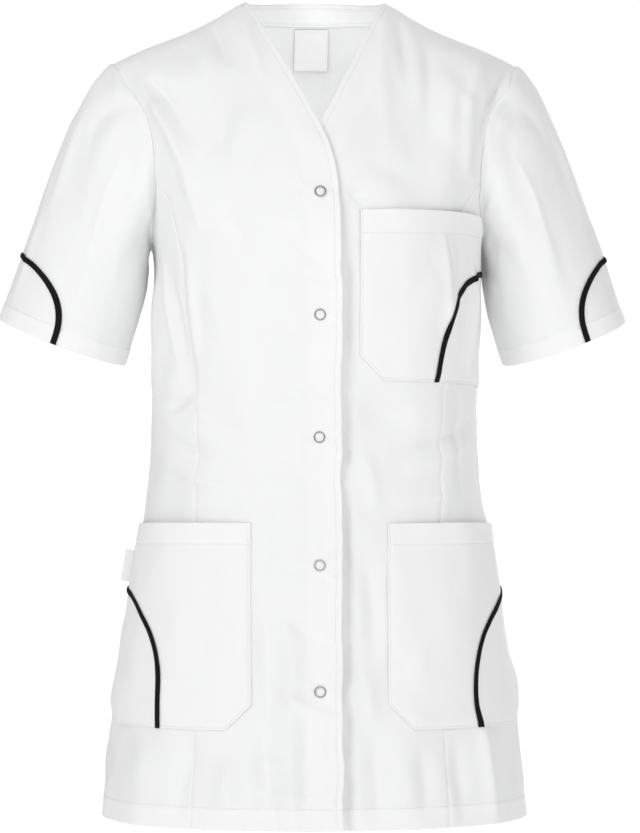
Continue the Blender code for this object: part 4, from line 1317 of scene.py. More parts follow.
@dataclass
class BodyPanels:
    """The fronts, the side fronts and the back, with their hems, edges and sewing."""

    hem: float = 0.0175
    swell: float = 0.00035  # how far the turned hem stands out
    turning: float = 0.0006  # what it adds to the cloth's thickness
    seam_depth: float = 0.00065
    seam_width: float = 0.0017
    pucker: float = 0.00042
    snap_strain: float = 0.0012
    snap_edge: float = 0.0055
    row_pitch: float = 0.0028
    column_pitch: float = 0.0030

    def levels(self, top: float) -> Array:
        """Gives the rows of a panel, from the hem to its top, closer at hem, stitches and seams."""
        marks = [HEM + d for d in EDGE] + beside(HEM + self.hem, HEM + self.hem + 0.003) + [top - d for d in EDGE]
        return spread(HEM, top, self.row_pitch, marks)

    def at_hem(self, level: Array) -> Array:
        """Gives the height of the hem's swelling, its stitched groove and its rounded fold."""
        return turned_hem(level - HEM, self.hem, self.swell) + rounded(level - HEM, 0.0006)

    def at_shoulder(self, level: Array) -> Array:
        """Gives the height beside the shoulder seam."""
        return groove(-level, self.seam_depth, self.seam_width) + rounded(-level, 0.0005)

    def at_seam(self, distance: Array, along: Array, seed: int) -> Array:
        """Gives the height beside a seam: its soft valley, rounded edge and small puckers.

        Args:
            distance: Distance from the seam.
            along: Length along it.
            seed: Picks its puckers.

        Returns:
            The heights.
        """
        distance = np.maximum(distance, 0.0)
        ripples = lumps(along, distance, 0.0065, 0.020, seed) * np.exp(-((distance - 0.004) ** 2) / 0.005**2)
        valley = groove(distance, self.seam_depth, self.seam_width)
        return valley + rounded(distance, 0.0005) + self.pucker * ripples

    def strain(self, girth: Array, level: Array) -> Array:
        """Gives the small creases that spring from each snap.

        Args:
            girth: Girths of the places.
            level: Levels of the places.

        Returns:
            The heights.
        """
        total = np.zeros(girth.shape)
        chance = np.random.default_rng(5)
        for snap in SNAP_LEVELS:
            for base in (12.0, 38.0, 158.0, 200.0, 322.0):
                angle = math.radians(base + chance.uniform(-14, 14))
                reach = chance.uniform(0.020, 0.034)
                bend = angle + chance.uniform(-0.3, 0.3)
                ways = ((self.snap_edge, angle), (0.5 * reach, bend), (reach, angle))
                places = [(far * math.cos(way), snap + far * math.sin(way)) for far, way in ways]
                height = self.snap_strain * chance.uniform(0.6, 1.2) * chance.choice([-1.0, 1.0, 1.0])
                crease = Crease(*places, chance.uniform(0.0026, 0.0042), height, 1.6)
                total += crease.relief(girth, level, np.array(places))
        return total

    def front_edge(self, side: Side, level: Array) -> Array:
        """Gives the girth of a front's edge, which strays a little on the upper front."""
        edge = EDGES.front_inner(level)
        return edge + PLACKET.waviness(level) if side is Side.RIGHT else edge

    def front_height(self, side: Side, girth: Array, level: Array) -> Array:
        """Gives the height of a front's outside.

        Args:
            side: The front's side.
            girth: Girths of the places.
            level: Levels of the places.

        Returns:
            The heights above the bare body.
        """
        own = side.value * girth
        from_edge = own - self.front_edge(side, level)
        height = FRONT.relief(girth, level) + self.at_hem(level) + self.at_shoulder(level)
        height += self.at_seam(EDGES.front_outer(level) - own, level, 3 + side.value)
        height += groove(from_edge - PLACKET.stitch, STITCH_DEPTH, STITCH_WIDTH) + rounded(from_edge, 0.0006)
        ripple = lumps(level, from_edge, 0.0180, 0.050, 71) * np.exp(-((from_edge / 0.014) ** 2))
        if side is Side.RIGHT:
            curl = smooth(1 - from_edge / PLACKET.curl_reach) * PLACKET.below_neck(level) * PLACKET.unevenness(level)
            height += PLACKET.raised(own, level) + PLACKET.curl * curl
            return height + self.strain(girth, level) + 0.0007 * ripple
        line = (own - PLACKET.trough_at) / PLACKET.trough_width
        low = smooth((PLACKET.low_start - level) / 0.040) * PLACKET.unevenness(level)
        return height - PLACKET.trough * np.exp(-(line**2)) * low + 0.0003 * ripple

    def side_height(self, side: Side, girth: Array, level: Array) -> Array:
        """Gives the height of a side front's outside.

        Args:
            side: Its side.
            girth: Girths of the places.
            level: Levels of the places.

        Returns:
            The heights above the bare body.
        """
        own = side.value * girth
        height = FRONT.relief(girth, level) + self.at_hem(level)
        height += self.at_seam(own - EDGES.princess(level) - SEAM / 2, level, 13 + side.value)
        return height + self.at_seam(EDGES.side_outer(level) - own, level, 17 + side.value)

    def back_height(self, girth: Array, level: Array) -> Array:
        """Gives the height of the back's outside."""
        height = BACK.relief(girth, level) + self.at_hem(level) + self.at_shoulder(level)
        return height + self.at_seam(EDGES.back_outer(level) - np.abs(girth), level, 23)

    def make_panel(
        self,
        name: str,
        surface: BodySurface,
        girth: Array,
        rows: Array,
        height_at: Callable[[Array, Array], Array],
        hem_girth: Array,
        rests_on: str,
        double: Array | float = 0.0,
        edge: tuple[Array, Array] | None = None,
    ) -> None:
        """Makes a panel with the row of stitches along its hem.

        Args:
            name: The name of its solid.
            surface: The half that it lies on.
            girth: Girths of its grid, a line for each row.
            rows: The rows' levels.
            height_at: Gives its height at girths and levels.
            hem_girth: Girths along the hem's row of stitches.
            rests_on: What it hangs from.
            double: How double the cloth lies.
            edge: Girths and levels of the stitches along its free edge, if it has one.
        """
        level = np.repeat(rows[:, None], girth.shape[1], axis=1)
        height = height_at(girth, level)
        turned = doubled(level - HEM, self.hem)
        outer = surface.cloth(girth, level, height)
        inner = surface.cloth(girth, level, height - WALL - self.turning * turned)
        layers = np.clip(np.maximum(double, turned), 0.0, 1.0)
        grid = ClothGrid(outer, inner, np.stack([girth, level], axis=-1), layers)
        sewing = Seamwork(name + "_stitches")
        hem_line = (hem_girth, np.full(hem_girth.shape, HEM + self.hem))
        for line in (hem_line,) if edge is None else (edge, hem_line):
            sewing.row(surface.cloth(*line, height_at(*line)), surface.normal(*line))
        lay_sheet(grid, name, TWILL, rests_on, [sewing.build()])

    def make_front(self, side: Side) -> None:
        """Makes a front with the rows of stitches along its edge and hem.

        Args:
            side: The front's side.
        """
        rows = self.levels(0.0)
        near = [*EDGE, *beside(PLACKET.stitch), 0.0085, 0.0105]
        own = columns(self.front_edge(side, rows), EDGES.front_outer(rows), near, EDGE, self.column_pitch)
        from_edge = own - own[:, :1]
        ragged = 0.002 * lumps(rows[:, None], from_edge, 0.030, 0.02, 87)
        facing = 0.7 * smooth((PLACKET.facing + ragged - from_edge) / 0.005)
        fine = np.linspace(HEM + 0.001, -0.002, 900)
        edge = side.value * (self.front_edge(side, fine) + PLACKET.stitch)
        at_hem = np.array([HEM + self.hem])
        ends = np.linspace(self.front_edge(side, at_hem)[0], EDGES.front_outer(at_hem)[0], 120)
        height_at = partial(self.front_height, side)
        self.make_panel(
            "front_" + side.word,
            FRONT,
            side.value * own,
            rows,
            height_at,
            side.value * ends[1:-1],
            "back_cloth",
            facing,
            (edge, fine),
        )

    def make_side_front(self, side: Side) -> None:
        """Makes a side front, which ends in a point where the princess seam meets the armhole.

        Args:
            side: Its side.
        """
        rows = self.levels(EDGES.princess_top - 0.0012)
        start = EDGES.princess(rows) + SEAM / 2
        girth = side.value * columns(start, EDGES.side_outer(rows), EDGE, EDGE, self.column_pitch)
        hem_girth = np.linspace(girth[0, 1], girth[0, -2], 80)
        height_at = partial(self.side_height, side)
        rests_on = f"front_{side.word}_cloth"
        self.make_panel("side_front_" + side.word, FRONT, girth, rows, height_at, hem_girth, rests_on)

    def make_back(self) -> None:
        """Makes the back in one piece, from one side seam to the other."""
        rows = self.levels(0.0)
        half = 0.21  # about its half girth
        ends = EDGES.back_outer(rows)
        neck = float(BACK.girth_at(NECK, 0.0) / ends[-1])
        marks = [*(1 - d / half for d in EDGE), neck, neck + 0.01, neck - 0.01]
        shares = spread(-1.0, 1.0, self.column_pitch / half, [*marks, *(-mark for mark in marks)])
        hem_girth = np.linspace(-0.99, 0.99, 260) * float(ends[0])
        girth = ends[:, None] * shares
        self.make_panel("back", BACK, girth, rows, self.back_height, hem_girth, "wearer_shoulders")

    def build(self) -> None:
        """Makes every panel."""
        for side in Side:
            self.make_front(side)
            self.make_side_front(side)
        self.make_back()


@dataclass
class Collar:
    """The standing band between the back neckline and the line between the two peaks."""

    peak_back: float = 0.0002  # how far behind the shoulder line the peaks lie
    peak_rise: float = 0.016
    middle_back: float = 0.078
    middle_rise: float = 0.031
    tall: float = 0.0225
    low_row: float = 0.0030
    high_row: float = 0.0045
    groove_depth: float = 0.00022
    groove_width: float = 0.0009

    def build(self) -> None:
        """Makes the band with its two rows of stitches outside and inside."""
        tall, rows = self.tall, (self.low_row, self.tall - self.high_row)
        girth = np.linspace(-1.0, 1.0, 111) * float(BACK.girth_at(NECK, 0.0))
        low = BACK.cloth(girth, 0.0, 0.0) + [0.0, 0.0, SEAM]
        low[[0, -1], 1] = self.peak_back
        share = low[:, 0] / NECK
        arch = np.maximum(1 - share**2, 0.0)
        back = self.peak_back + (self.middle_back - self.peak_back) * arch**0.75
        top = np.stack([PEAK * share, back, self.peak_rise + (self.middle_rise - self.peak_rise) * arch], axis=-1)
        steps = spread(0.0, tall, 0.0016, [*EDGE, *beside(*rows), *(tall - d for d in EDGE)])
        rise = (steps / tall)[:, None, None]
        bare = low * (1 - rise) + top * rise
        normal = np.cross(np.gradient(bare, axis=0), np.gradient(bare, axis=1))
        normal[:, [0, -1], 1] = 0.0
        normal /= np.linalg.norm(normal, axis=-1, keepdims=True)
        length, away = np.meshgrid(girth, steps)
        height = rounded(away, 0.0005) + rounded(tall - away, 0.0006)
        for row in rows:
            height += groove(away - row, self.groove_depth, self.groove_width)
        height += 0.0004 * lumps(length, away, 0.024, 0.016, 91) * np.sin(math.pi * np.clip(away / tall, 0, 1))
        outer = bare + normal * height[..., None]
        inner = bare + normal * (height - WALL)[..., None]
        grid = ClothGrid(outer, inner, np.stack([length, away], axis=-1), np.ones(length.shape))
        sewing = Seamwork("back_collar_stitches")
        for row in rows:
            index = int(np.argmin(np.abs(steps - row)))
            sewing.row(outer[index, 1:-1], normal[index, 1:-1])
            sewing.row(inner[index, 1:-1], -normal[index, 1:-1])
        lay_sheet(grid, "back_collar", TWILL, "back_cloth", [sewing.build()])


# ---- the sleeves

STRIP = np.array([0.0, 0.05, 0.14, 0.28, 0.5, 0.72, 0.86, 0.95, 1.0])  # places across a folded strip, as shares
STRIP_LIFT = 0.0003  # how far a folded strip lies above the cloth
STRIP_HEIGHT = 0.0003 + 0.0009 * np.sqrt(1 - (2 * STRIP - 1) ** 2)  # how thick it is

SLEEVE_CREASES = creases(
    (0.95, 0.06, 1.10, 0.29, 1.25, 0.52, 0.20, 0.0032, 2.0, False),
    (1.90, 0.20, 1.75, 0.45, 1.60, 0.70, 0.24, 0.0028, 2.0, False),
    (5.10, 0.10, 5.00, 0.35, 4.90, 0.60, 0.22, 0.0035, 2.0, False),
    (4.10, 0.25, 4.25, 0.50, 4.40, 0.75, 0.22, 0.0025, 2.0, False),
    (1.30, 0.05, 0.98, 0.20, 0.80, 0.42, 0.11, -0.0055, 1.7),
    (2.45, 0.10, 2.10, 0.22, 1.70, 0.46, 0.10, 0.0040, 1.5),
    (2.60, 0.30, 2.30, 0.48, 1.95, 0.66, 0.11, -0.0035, 1.7),
    (1.45, 0.30, 1.38, 0.52, 1.52, 0.84, 0.09, 0.0028, 1.6),
    (0.50, 0.30, 0.62, 0.50, 0.55, 0.74, 0.11, 0.0030, 1.7),
    (3.85, 0.12, 4.20, 0.24, 4.70, 0.48, 0.10, 0.0042, 1.5),
    (3.70, 0.34, 4.00, 0.50, 4.50, 0.70, 0.11, -0.0035, 1.7),
    (5.55, 0.08, 5.40, 0.26, 5.50, 0.52, 0.11, 0.0035, 1.7),
    (0.30, 0.70, 0.42, 0.82, 0.36, 0.97, 0.07, 0.0025, 1.6),
    (5.95, 0.72, 5.86, 0.84, 5.90, 0.97, 0.08, 0.0025, 1.6),
    units=1,
)


class SleeveSurface(Surface):
    """The outer surface of one sleeve, laid between the armhole and the cuff."""

    COUNT, MARKS = 720, 61  # steps round the sleeve, and marks down it
    CUFF_RADIUS = 0.054
    CUFF_MIDDLE = (0.2212, -0.002, -0.2869)
    CUFF_WIDE, CUFF_DEEP, CUFF_DIP, CUFF_TWIST = 0.0584, 0.049, 0.0075, 0.08
    ACROSS = (0.938, 0.0, 0.347)  # the slanted cuff's direction across
    UP = (-0.347, 0.0, 0.938)  # the direction straight up from it
    STEP, LAST = 0.02, 1.0
    ROUND = 0.058  # metres of cloth a radian
    SOFT: Table = ((0.0018, 0.55, 0.50), (0.0013, 0.36, 0.30), (0.00040, 0.013, 0.018))  # height, width, length
    SEED = 120

    def __init__(self, side: Side) -> None:
        """Lays the sleeve's lengthwise curves.

        Args:
            side: The sleeve's side.
        """
        self.side = side
        self.outward = side.value
        turn = np.linspace(0.0, 2 * math.pi, self.COUNT + 1)
        over = (1 + np.cos(turn)) / 2
        heading = np.stack([np.ones(turn.shape), -0.12 * np.sin(turn), 0.15 * over - 0.43], axis=-1)
        heading /= np.linalg.norm(heading, axis=-1, keepdims=True)
        heading[:, 0] *= side.value
        start = self._armhole(turn) - 0.0008 * heading
        first = start + (0.004 + 0.024 * np.sqrt(over))[:, None] * heading
        cuff_turn = turn - side.value * self.CUFF_TWIST
        end = np.array(self.CUFF_MIDDLE) + self.CUFF_WIDE * np.cos(cuff_turn)[:, None] * self.ACROSS
        end[:, 1] -= self.CUFF_DEEP * np.sin(cuff_turn)
        end[:, 2] -= self.CUFF_DIP * np.sin(cuff_turn)
        last = end + (0.075 + 0.055 * over)[:, None] * self.UP
        end[:, 0] *= side.value
        last[:, 0] *= side.value
        self.controls = np.stack([start, first, last, end])
        self.marks = np.linspace(0.0, 1.0, self.MARKS)
        lines = self.bare(*np.meshgrid(turn, self.marks, indexing="ij"))
        steps = np.linalg.norm(np.diff(lines, axis=1), axis=-1)
        lengths = np.concatenate([np.zeros((len(turn), 1)), np.cumsum(steps, axis=1)], axis=1)
        self.left = lengths[:, -1:] - lengths  # length of cloth from each mark down to the cuff

    def _armhole(self, turn: Array) -> Array:
        """Gives the armhole's points.

        Args:
            turn: Turns from the tip by the front to the underarm and back.

        Returns:
            One point a turn.
        """
        level = UNDERARM * (1 - np.cos(turn)) / 2
        front = FRONT.girth_at(EDGES.front_armhole(level), level) * self.side.value
        back = BACK.girth_at(EDGES.back_armhole(level), level) * self.side.value
        before = FRONT.cloth(front, level, FRONT.relief(front, level))
        behind = BACK.cloth(back, level, BACK.relief(back, level))
        return np.where((turn % (2 * math.pi) <= math.pi)[:, None], before, behind)

    def _at(self, table: Array, turn: Array) -> Array:
        """Reads a table whose rows go round the sleeve.

        Args:
            table: One row a step.
            turn: The turns to read it at.

        Returns:
            The values between the nearest rows.
        """
        place = (turn % (2 * math.pi)) / (2 * math.pi) * self.COUNT
        left = np.clip(place.astype(int), 0, self.COUNT - 1)
        part = place - left
        part = part.reshape(part.shape + (1,) * (table.ndim - 1))
        return table[left] * (1 - part) + table[left + 1] * part

    def bare(self, turn: Array, along: Array) -> Array:
        """Gives points of the surface without its creases.

        Args:
            turn: Turns of the places.
            along: Their shares of the way from the armhole.

        Returns:
            One point a place.
        """
        start, first, last, end = (self._at(control, turn) for control in self.controls)
        part = along[..., None]
        rest = 1 - part
        return start * rest**3 + first * 3 * rest**2 * part + last * 3 * rest * part**2 + end * part**3

    def from_cuff(self, turn: Array, along: Array) -> Array:
        """Gives the length of cloth from places down to the cuff.

        Args:
            turn: Turns of the places.
            along: Their shares of the way.

        Returns:
            The lengths.
        """
        rows = self._at(self.left, turn)
        mark = along * (self.MARKS - 1)
        low = np.clip(mark.astype(int), 0, self.MARKS - 2)
        part = mark - low
        near = np.take_along_axis(rows, low[..., None], -1)[..., 0]
        far = np.take_along_axis(rows, low[..., None] + 1, -1)[..., 0]
        return near * (1 - part) + far * part

    def along_at(self, turn: Array, distance: Array) -> Array:
        """Gives the places that are a length of cloth away from the cuff.

        Args:
            turn: Turns of the places.
            distance: The lengths, one a turn.

        Returns:
            The shares of the way.
        """
        rows = self._at(self.left, turn.ravel())
        found = [np.interp(d, row[::-1], self.marks[::-1]) for d, row in zip(distance.ravel(), rows)]
        return np.array(found).reshape(turn.shape)

    def relief(self, turn: Array, along: Array) -> Array:
        """Gives the heights of the creases and the cloth's soft unevenness.

        Args:
            turn: Turns of the places.
            along: Their shares of the way.

        Returns:
            The heights.
        """
        turn = turn % (2 * math.pi)
        total = np.zeros(turn.shape)
        for crease in SLEEVE_CREASES:
            total += crease.relief(turn, along, np.array([crease.start, crease.bend, crease.end]))
        over, far = np.cos(turn), np.sin(turn)
        places = ((over, along + 0.2 * far), (far, along), (turn * self.ROUND, along * 0.2))
        for index, (place, (height, width, length)) in enumerate(zip(places, self.SOFT)):
            total += height * lumps(*place, width, length, self.SEED + self.side.value + 4 * index)
        return total * smooth(along / 0.12)


@dataclass
class Sleeve:
    """One sleeve with its cuff, arched inset and piping."""

    surface: SleeveSurface
    arch_height: float = 0.0615
    arch_fullness: float = 2.6  # 2 would make the arch an ellipse
    arch_angle: float = 1.440
    arch_size: float = 0.062  # about its radius, which makes lengths of its shares
    length: float = 0.20
    hem: float = 0.0150
    swell: float = 0.0004
    turning: float = 0.0005
    piping: float = 0.0048
    puff: float = 0.0007

    @property
    def word(self) -> str:
        """The sleeve's side, as it stands in the names of pieces."""
        return self.surface.side.word

    def height(self, turn: Array, along: Array) -> Array:
        """Gives the height of a sleeve's outside.

        Args:
            turn: Turns of the places.
            along: Their shares of the way.

        Returns:
            The heights above the bare sleeve.
        """
        distance = self.surface.from_cuff(turn, along)
        from_top = along * self.length
        height = self.surface.relief(turn, along)
        height += turned_hem(distance, self.hem, self.swell) + rounded(distance, 0.0006)
        height += groove(from_top, 0.0006, 0.0018) + rounded(from_top, 0.0005)
        gathers = np.maximum(np.cos(turn), 0.0) * np.exp(-((from_top - 0.007) ** 2) / 0.007**2)
        return height + self.puff * gathers * (1 + 0.8 * lumps(turn * 0.06, from_top, 0.009, 0.05, 140))

    def across_arch(self, share: Array) -> Array:
        """Gives one share of the arch's size, across or up, from the other one."""
        return np.maximum(1 - share**self.arch_fullness, 0.0) ** (1 / self.arch_fullness)

    def at_arch(self, distance: Array, turn: Array) -> Array:
        """Gives the height beside the arched seam.

        Args:
            distance: Lengths of cloth from the cuff.
            turn: Turns of the places.

        Returns:
            The heights.
        """
        turn = (turn + math.pi) % (2 * math.pi) - math.pi
        power = self.arch_fullness
        reach = (np.abs(turn / self.arch_angle) ** power + (distance / self.arch_height) ** power) ** (1 / power)
        return groove(np.abs(reach - 1) * self.arch_size, 0.0004, 0.0014)

    def grid(self, turn: Array, along: Array, distance: Array, tube: bool) -> ClothGrid:
        """Makes the grid of a sleeve or an inset.

        Args:
            turn: Turns of the grid's places.
            along: Their shares of the way.
            distance: Their lengths of cloth from the cuff.
            tube: Whether it goes all round.

        Returns:
            The grid.
        """
        height = self.height(turn, along) + self.at_arch(distance, turn)
        layers = doubled(distance, self.hem)
        outer = self.surface.cloth(turn, along, height)
        inner = self.surface.cloth(turn, along, height - WALL - self.turning * layers)
        return ClothGrid(outer, inner, np.stack([turn * self.surface.CUFF_RADIUS, -distance], axis=-1), layers, tube)

    def lay(self, grid: ClothGrid, name: str, rests_on: str, turn: Array) -> None:
        """Lays a sleeve's or an inset's sheet with the stitches of its hem.

        Args:
            grid: Its grid.
            name: The name of its solid.
            rests_on: What it hangs from.
            turn: The turns of its hem's row of stitches.
        """
        along = self.surface.along_at(turn, np.full(turn.shape, self.hem))
        points = self.surface.cloth(turn, along, self.height(turn, along))
        sewing = Seamwork(name + "_stitches")
        sewing.row(points, self.surface.normal(turn, along))
        lay_sheet(grid, name, TWILL, rests_on, [sewing.build()])

    def make_sleeve(self) -> None:
        """Makes the sleeve, whose lower edge leaves an arch open for its inset."""
        rim = self.arch_angle
        over = rim * np.sin(np.linspace(-0.5, 0.5, 65) * math.pi)
        under = rim + (2 * math.pi - 2 * rim) * np.linspace(0.0, 1.0, 75)[1:-1]
        share = np.minimum(np.abs(over) / rim, 1.0)
        arch = (self.arch_height + SEAM) * self.across_arch(share)
        arch[[0, -1]] = 0.0
        low = self.surface.along_at(np.concatenate([over, under]), np.concatenate([arch, np.zeros(under.shape)]))
        top = [d / self.length for d in (*EDGE, 0.0045, 0.007, 0.010)]
        bottom = [1 - d / self.length for d in (*EDGE, *beside(self.hem))]
        rows = spread(0.0, 1.0, 0.0150, [*top, *bottom])
        turn = np.repeat(np.concatenate([over, under])[None, :], len(rows), axis=0)
        along = rows[:, None] * low[None, :]
        grid = self.grid(turn, along, self.surface.from_cuff(turn, along), tube=True)
        hem_turn = np.linspace(rim * 0.992, 2 * math.pi - rim * 0.992, 240)
        self.lay(grid, "sleeve_" + self.word, f"front_{self.word}_cloth", hem_turn)

    def make_inset(self) -> None:
        """Makes the arched inset over the cuff."""
        marks = [*EDGE, *beside(self.hem), self.arch_height - 0.0006]
        rows = spread(0.0, self.arch_height * 0.995, 0.0022, marks)
        half = self.arch_angle * self.across_arch(rows / self.arch_height) - 0.006
        turn = half[:, None] * np.sin(np.linspace(-0.5, 0.5, 61) * math.pi)
        distance = np.repeat(rows[:, None], turn.shape[1], axis=1)
        grid = self.grid(turn, self.surface.along_at(turn, distance), distance, tube=False)
        inset = self.arch_angle * 0.92
        hem_turn = np.linspace(-inset, inset, 160)
        self.lay(grid, "sleeve_inset_" + self.word, f"sleeve_{self.word}_cloth", hem_turn)

    def make_piping(self) -> None:
        """Makes the folded strip that follows the arch on the inset's side."""
        angle = np.linspace(0.0, math.pi, 130)[:, None]
        inset = self.piping * STRIP[None, :]
        power = 2 / self.arch_fullness
        over = np.sign(np.cos(angle)) * np.abs(np.cos(angle)) ** power
        turn = (self.arch_angle - inset / self.surface.CUFF_RADIUS) * over
        distance = (self.arch_height - inset) * np.maximum(np.sin(angle), 0.0) ** power
        along = self.surface.along_at(turn, distance)
        pressed = groove(distance - self.hem, 0.00045, 0.0011)
        base = self.height(turn, along) + STRIP_LIFT
        wavy = 0.00018 * lumps(angle * 0.06, inset, 0.010, 0.004, 160 + self.surface.side.value)
        outer = self.surface.cloth(turn, along, base + STRIP_HEIGHT + pressed + wavy)
        inner = self.surface.cloth(turn, along, base)
        flat = np.stack(np.broadcast_arrays(inset, angle * 0.06), axis=-1)
        grid = ClothGrid(outer, inner, flat, np.zeros(turn.shape))
        lay_sheet(grid, "sleeve_piping_" + self.word, BLACK_STRIP, f"sleeve_inset_{self.word}_cloth")

    def build(self) -> None:
        """Makes the sleeve, its inset and its strip."""
        self.make_sleeve()
        self.make_inset()
        self.make_piping()


# ---- the pockets


@dataclass
class PatchPocket:
    """A patch pocket with a bevelled inner corner and a curved inset behind a black strip.

    Its own girths grow towards its side, and its levels are the pattern's, before its mouth rises.
    """

    name: str
    side: Side
    inner: float
    top: float
    curve_top: float
    bottom: float
    reach: float
    fullness: float
    belly: float
    gape: float
    seed: int
    corner: float = 0.0  # how far its upper outer corner draws in from the side seam
    tilt: float = 0.0  # how far its mouth rises at the side
    outer_chamfer: float = 0.0
    outer_slope: float = 1.9
    chamfer: float = 0.021
    lay: float = 0.0008
    margin: float = 0.0012
    hem: float = 0.0180
    swell: float = 0.0003
    stitch: float = 0.0020
    piping: float = 0.0048
    column_pitch: float = 0.0018
    row_pitch: float = 0.0024

    def up(self, level: Array) -> Array:
        """Gives the share of the way from the bottom to the mouth."""
        return np.clip((level - self.bottom) / (self.top - self.bottom), 0.0, 1.0)

    def seam_edge(self, level: Array) -> Array:
        """Gives the girth of the outer edge, beside the side seam but for its upper corner."""
        above = np.maximum(level - self.curve_top, 0.0) / (self.top - self.curve_top)
        return FRONT.side_girth(np.minimum(level, UNDERARM)) - self.margin - self.corner * above

    def outer_edge(self, level: Array) -> Array:
        """Gives the girth of the outer edge with its bevelled lower corner."""
        return self.seam_edge(level) - self.outer_slope * np.maximum(0.0, self.bottom + self.outer_chamfer - level)

    def inner_edge(self, level: Array) -> Array:
        """Gives the girth of the inner edge with its bevelled lower corner."""
        return self.inner + np.maximum(0.0, self.bottom + self.chamfer - level)

    def rest(self, share: Array) -> Array:
        """Gives one share of the curve's size, across or up, from the other one."""
        return np.maximum(1 - share**self.fullness, 0.0) ** (1 / self.fullness)

    def curve(self, level: Array) -> Array:
        """Gives the girth of the curve, from the outer edge down to the bottom."""
        drop = np.clip((level - self.bottom) / (self.curve_top - self.bottom), 0.0, 1.0)
        return self.seam_edge(level) - self.reach * self.rest(drop)

    def raised(self, own: Array, level: Array) -> Array:
        """Gives the levels that the pattern's levels come to, as the mouth rises towards the side."""
        across = smooth((own - self.inner) / (self.seam_edge(level) - self.inner))
        return level + self.tilt * across * self.up(level)

    def on_body(self, girth: Array, level: Array, height: Array) -> Array:
        """Gives points at heights above the bare body, from the pattern's levels."""
        return FRONT.cloth(girth, self.raised(self.side.value * girth, level), height)

    def relief(self, girth: Array, level: Array) -> Array:
        """Gives the relief under the pocket, whose cloth bridges all but a third of each hollow."""
        relief = FRONT.relief(girth, self.raised(self.side.value * girth, level))
        return np.maximum(relief, 0.35 * relief)

    def height(self, girth: Array, level: Array) -> Array:
        """Gives the height of the pocket's outside.

        Args:
            girth: Girths of the places.
            level: Their levels.

        Returns:
            The heights above the bare body.
        """
        own = self.side.value * girth
        across = np.clip((own - self.inner) / (self.outer_edge(level) - self.inner), 0.0, 1.0)
        belly = np.sin(math.pi * across) * np.sin(0.8 * math.pi * self.up(level))
        from_inner = (own - self.inner_edge(level)) * np.where(level < self.bottom + self.chamfer, 0.707, 1.0)
        from_top = self.top - level
        near = np.minimum(np.minimum(from_inner, self.outer_edge(level) - own), level - self.bottom)
        mouth = self.gape * np.sin(math.pi * across) ** 1.3 * np.exp(-((from_top / 0.016) ** 2))
        height = self.relief(girth, level) + self.lay + WALL + self.belly * belly + mouth
        height += groove(near, 0.00055, 0.0045) + groove(near - self.stitch, 0.00028, 0.0009)
        height += rounded(np.minimum(near, from_top), 0.0005) + turned_hem(from_top, self.hem, self.swell)
        ripples = lumps(own, level, 0.0075, 0.0075, self.seed) * np.exp(-(((near - 0.004) / 0.005) ** 2))
        soft = lumps(own, level, 0.030, 0.050, self.seed + 1) * smooth(near / 0.02)
        return height + 0.00024 * ripples + 0.0009 * soft

    def grid(self, rows: Array, start: Array, end: Array, seamed: bool) -> ClothGrid:
        """Makes the grid of the main piece or the inset.

        Args:
            rows: The levels of its rows.
            start: Girth of its first edge at each row, on its own side.
            end: Girth of its last edge at each row.
            seamed: Whether the last edge is the curve; otherwise the first one is.

        Returns:
            The grid.
        """
        sewn = [*EDGE, *beside(self.stitch + 0.0012), 0.006]
        near, far = (sewn, EDGE) if seamed else (EDGE, sewn)
        own = columns(start, end, near, far, self.column_pitch)
        girth = self.side.value * own
        level = np.repeat(rows[:, None], own.shape[1], axis=1)
        height = self.height(girth, level) + groove(own - self.curve(level), 0.0004, 0.0014)
        floor = self.relief(girth, level) + 0.00015
        outer = self.on_body(girth, level, height)
        inner = self.on_body(girth, level, np.maximum(height - WALL, floor))
        layers = 0.62 + 0.38 * doubled(self.top - level, self.hem)
        return ClothGrid(outer, inner, np.stack([girth, level], axis=-1), layers)

    def rows(self) -> Array:
        """Gives the levels of the rows, closer at sewn lines and where the curve is flat.

        Returns:
            The levels from the bottom to the mouth.
        """
        curve = self.bottom + (self.curve_top - self.bottom) * self.rest(np.linspace(0.02, 0.98, 40))
        marks = [self.bottom + d for d in (*EDGE, *beside(self.stitch + 0.0012))]
        marks += [self.top - d for d in (*EDGE, *beside(self.hem))]
        marks += [self.bottom + self.chamfer, self.curve_top, *curve[curve > self.curve_top - 0.012].tolist()]
        rows = spread(self.bottom, self.top, self.row_pitch, marks)
        return rows[np.concatenate([[True], np.diff(rows) > 1e-5])]

    def make_piping(self) -> ClothGrid:
        """Makes the grid of the folded strip on the inset's side of the curve.

        Returns:
            The grid.
        """
        angle = np.linspace(0.03, 0.5 * math.pi, 110)[:, None]
        share = np.sin(angle) ** (2 / self.fullness)
        drop = np.maximum(np.cos(angle), 0.0) ** (2 / self.fullness)
        tall = self.curve_top - self.bottom
        level = self.bottom + tall * drop
        slope = (share * self.reach) ** (self.fullness - 1) / self.reach**self.fullness
        rise = (drop * tall) ** (self.fullness - 1) / tall**self.fullness
        length = np.hypot(slope, rise)
        edge = self.seam_edge(level) - self.reach * share
        inset = self.piping * STRIP[None, :]
        down = np.maximum(level - inset * rise / length, self.bottom)
        own = np.minimum(edge + inset * slope / length, self.seam_edge(down))
        girth = self.side.value * own
        run = np.cumsum(np.concatenate([[[0.0]], np.hypot(np.diff(edge, axis=0), np.diff(level, axis=0))]), axis=0)
        base = self.height(girth, down) + STRIP_LIFT
        wavy = 0.00018 * lumps(run, inset, 0.011, 0.004, self.seed + 9)
        outer = self.on_body(girth, down, base + STRIP_HEIGHT + wavy)
        flat = np.stack(np.broadcast_arrays(inset, run), axis=-1)
        return ClothGrid(outer, self.on_body(girth, down, base), flat, np.zeros(girth.shape))

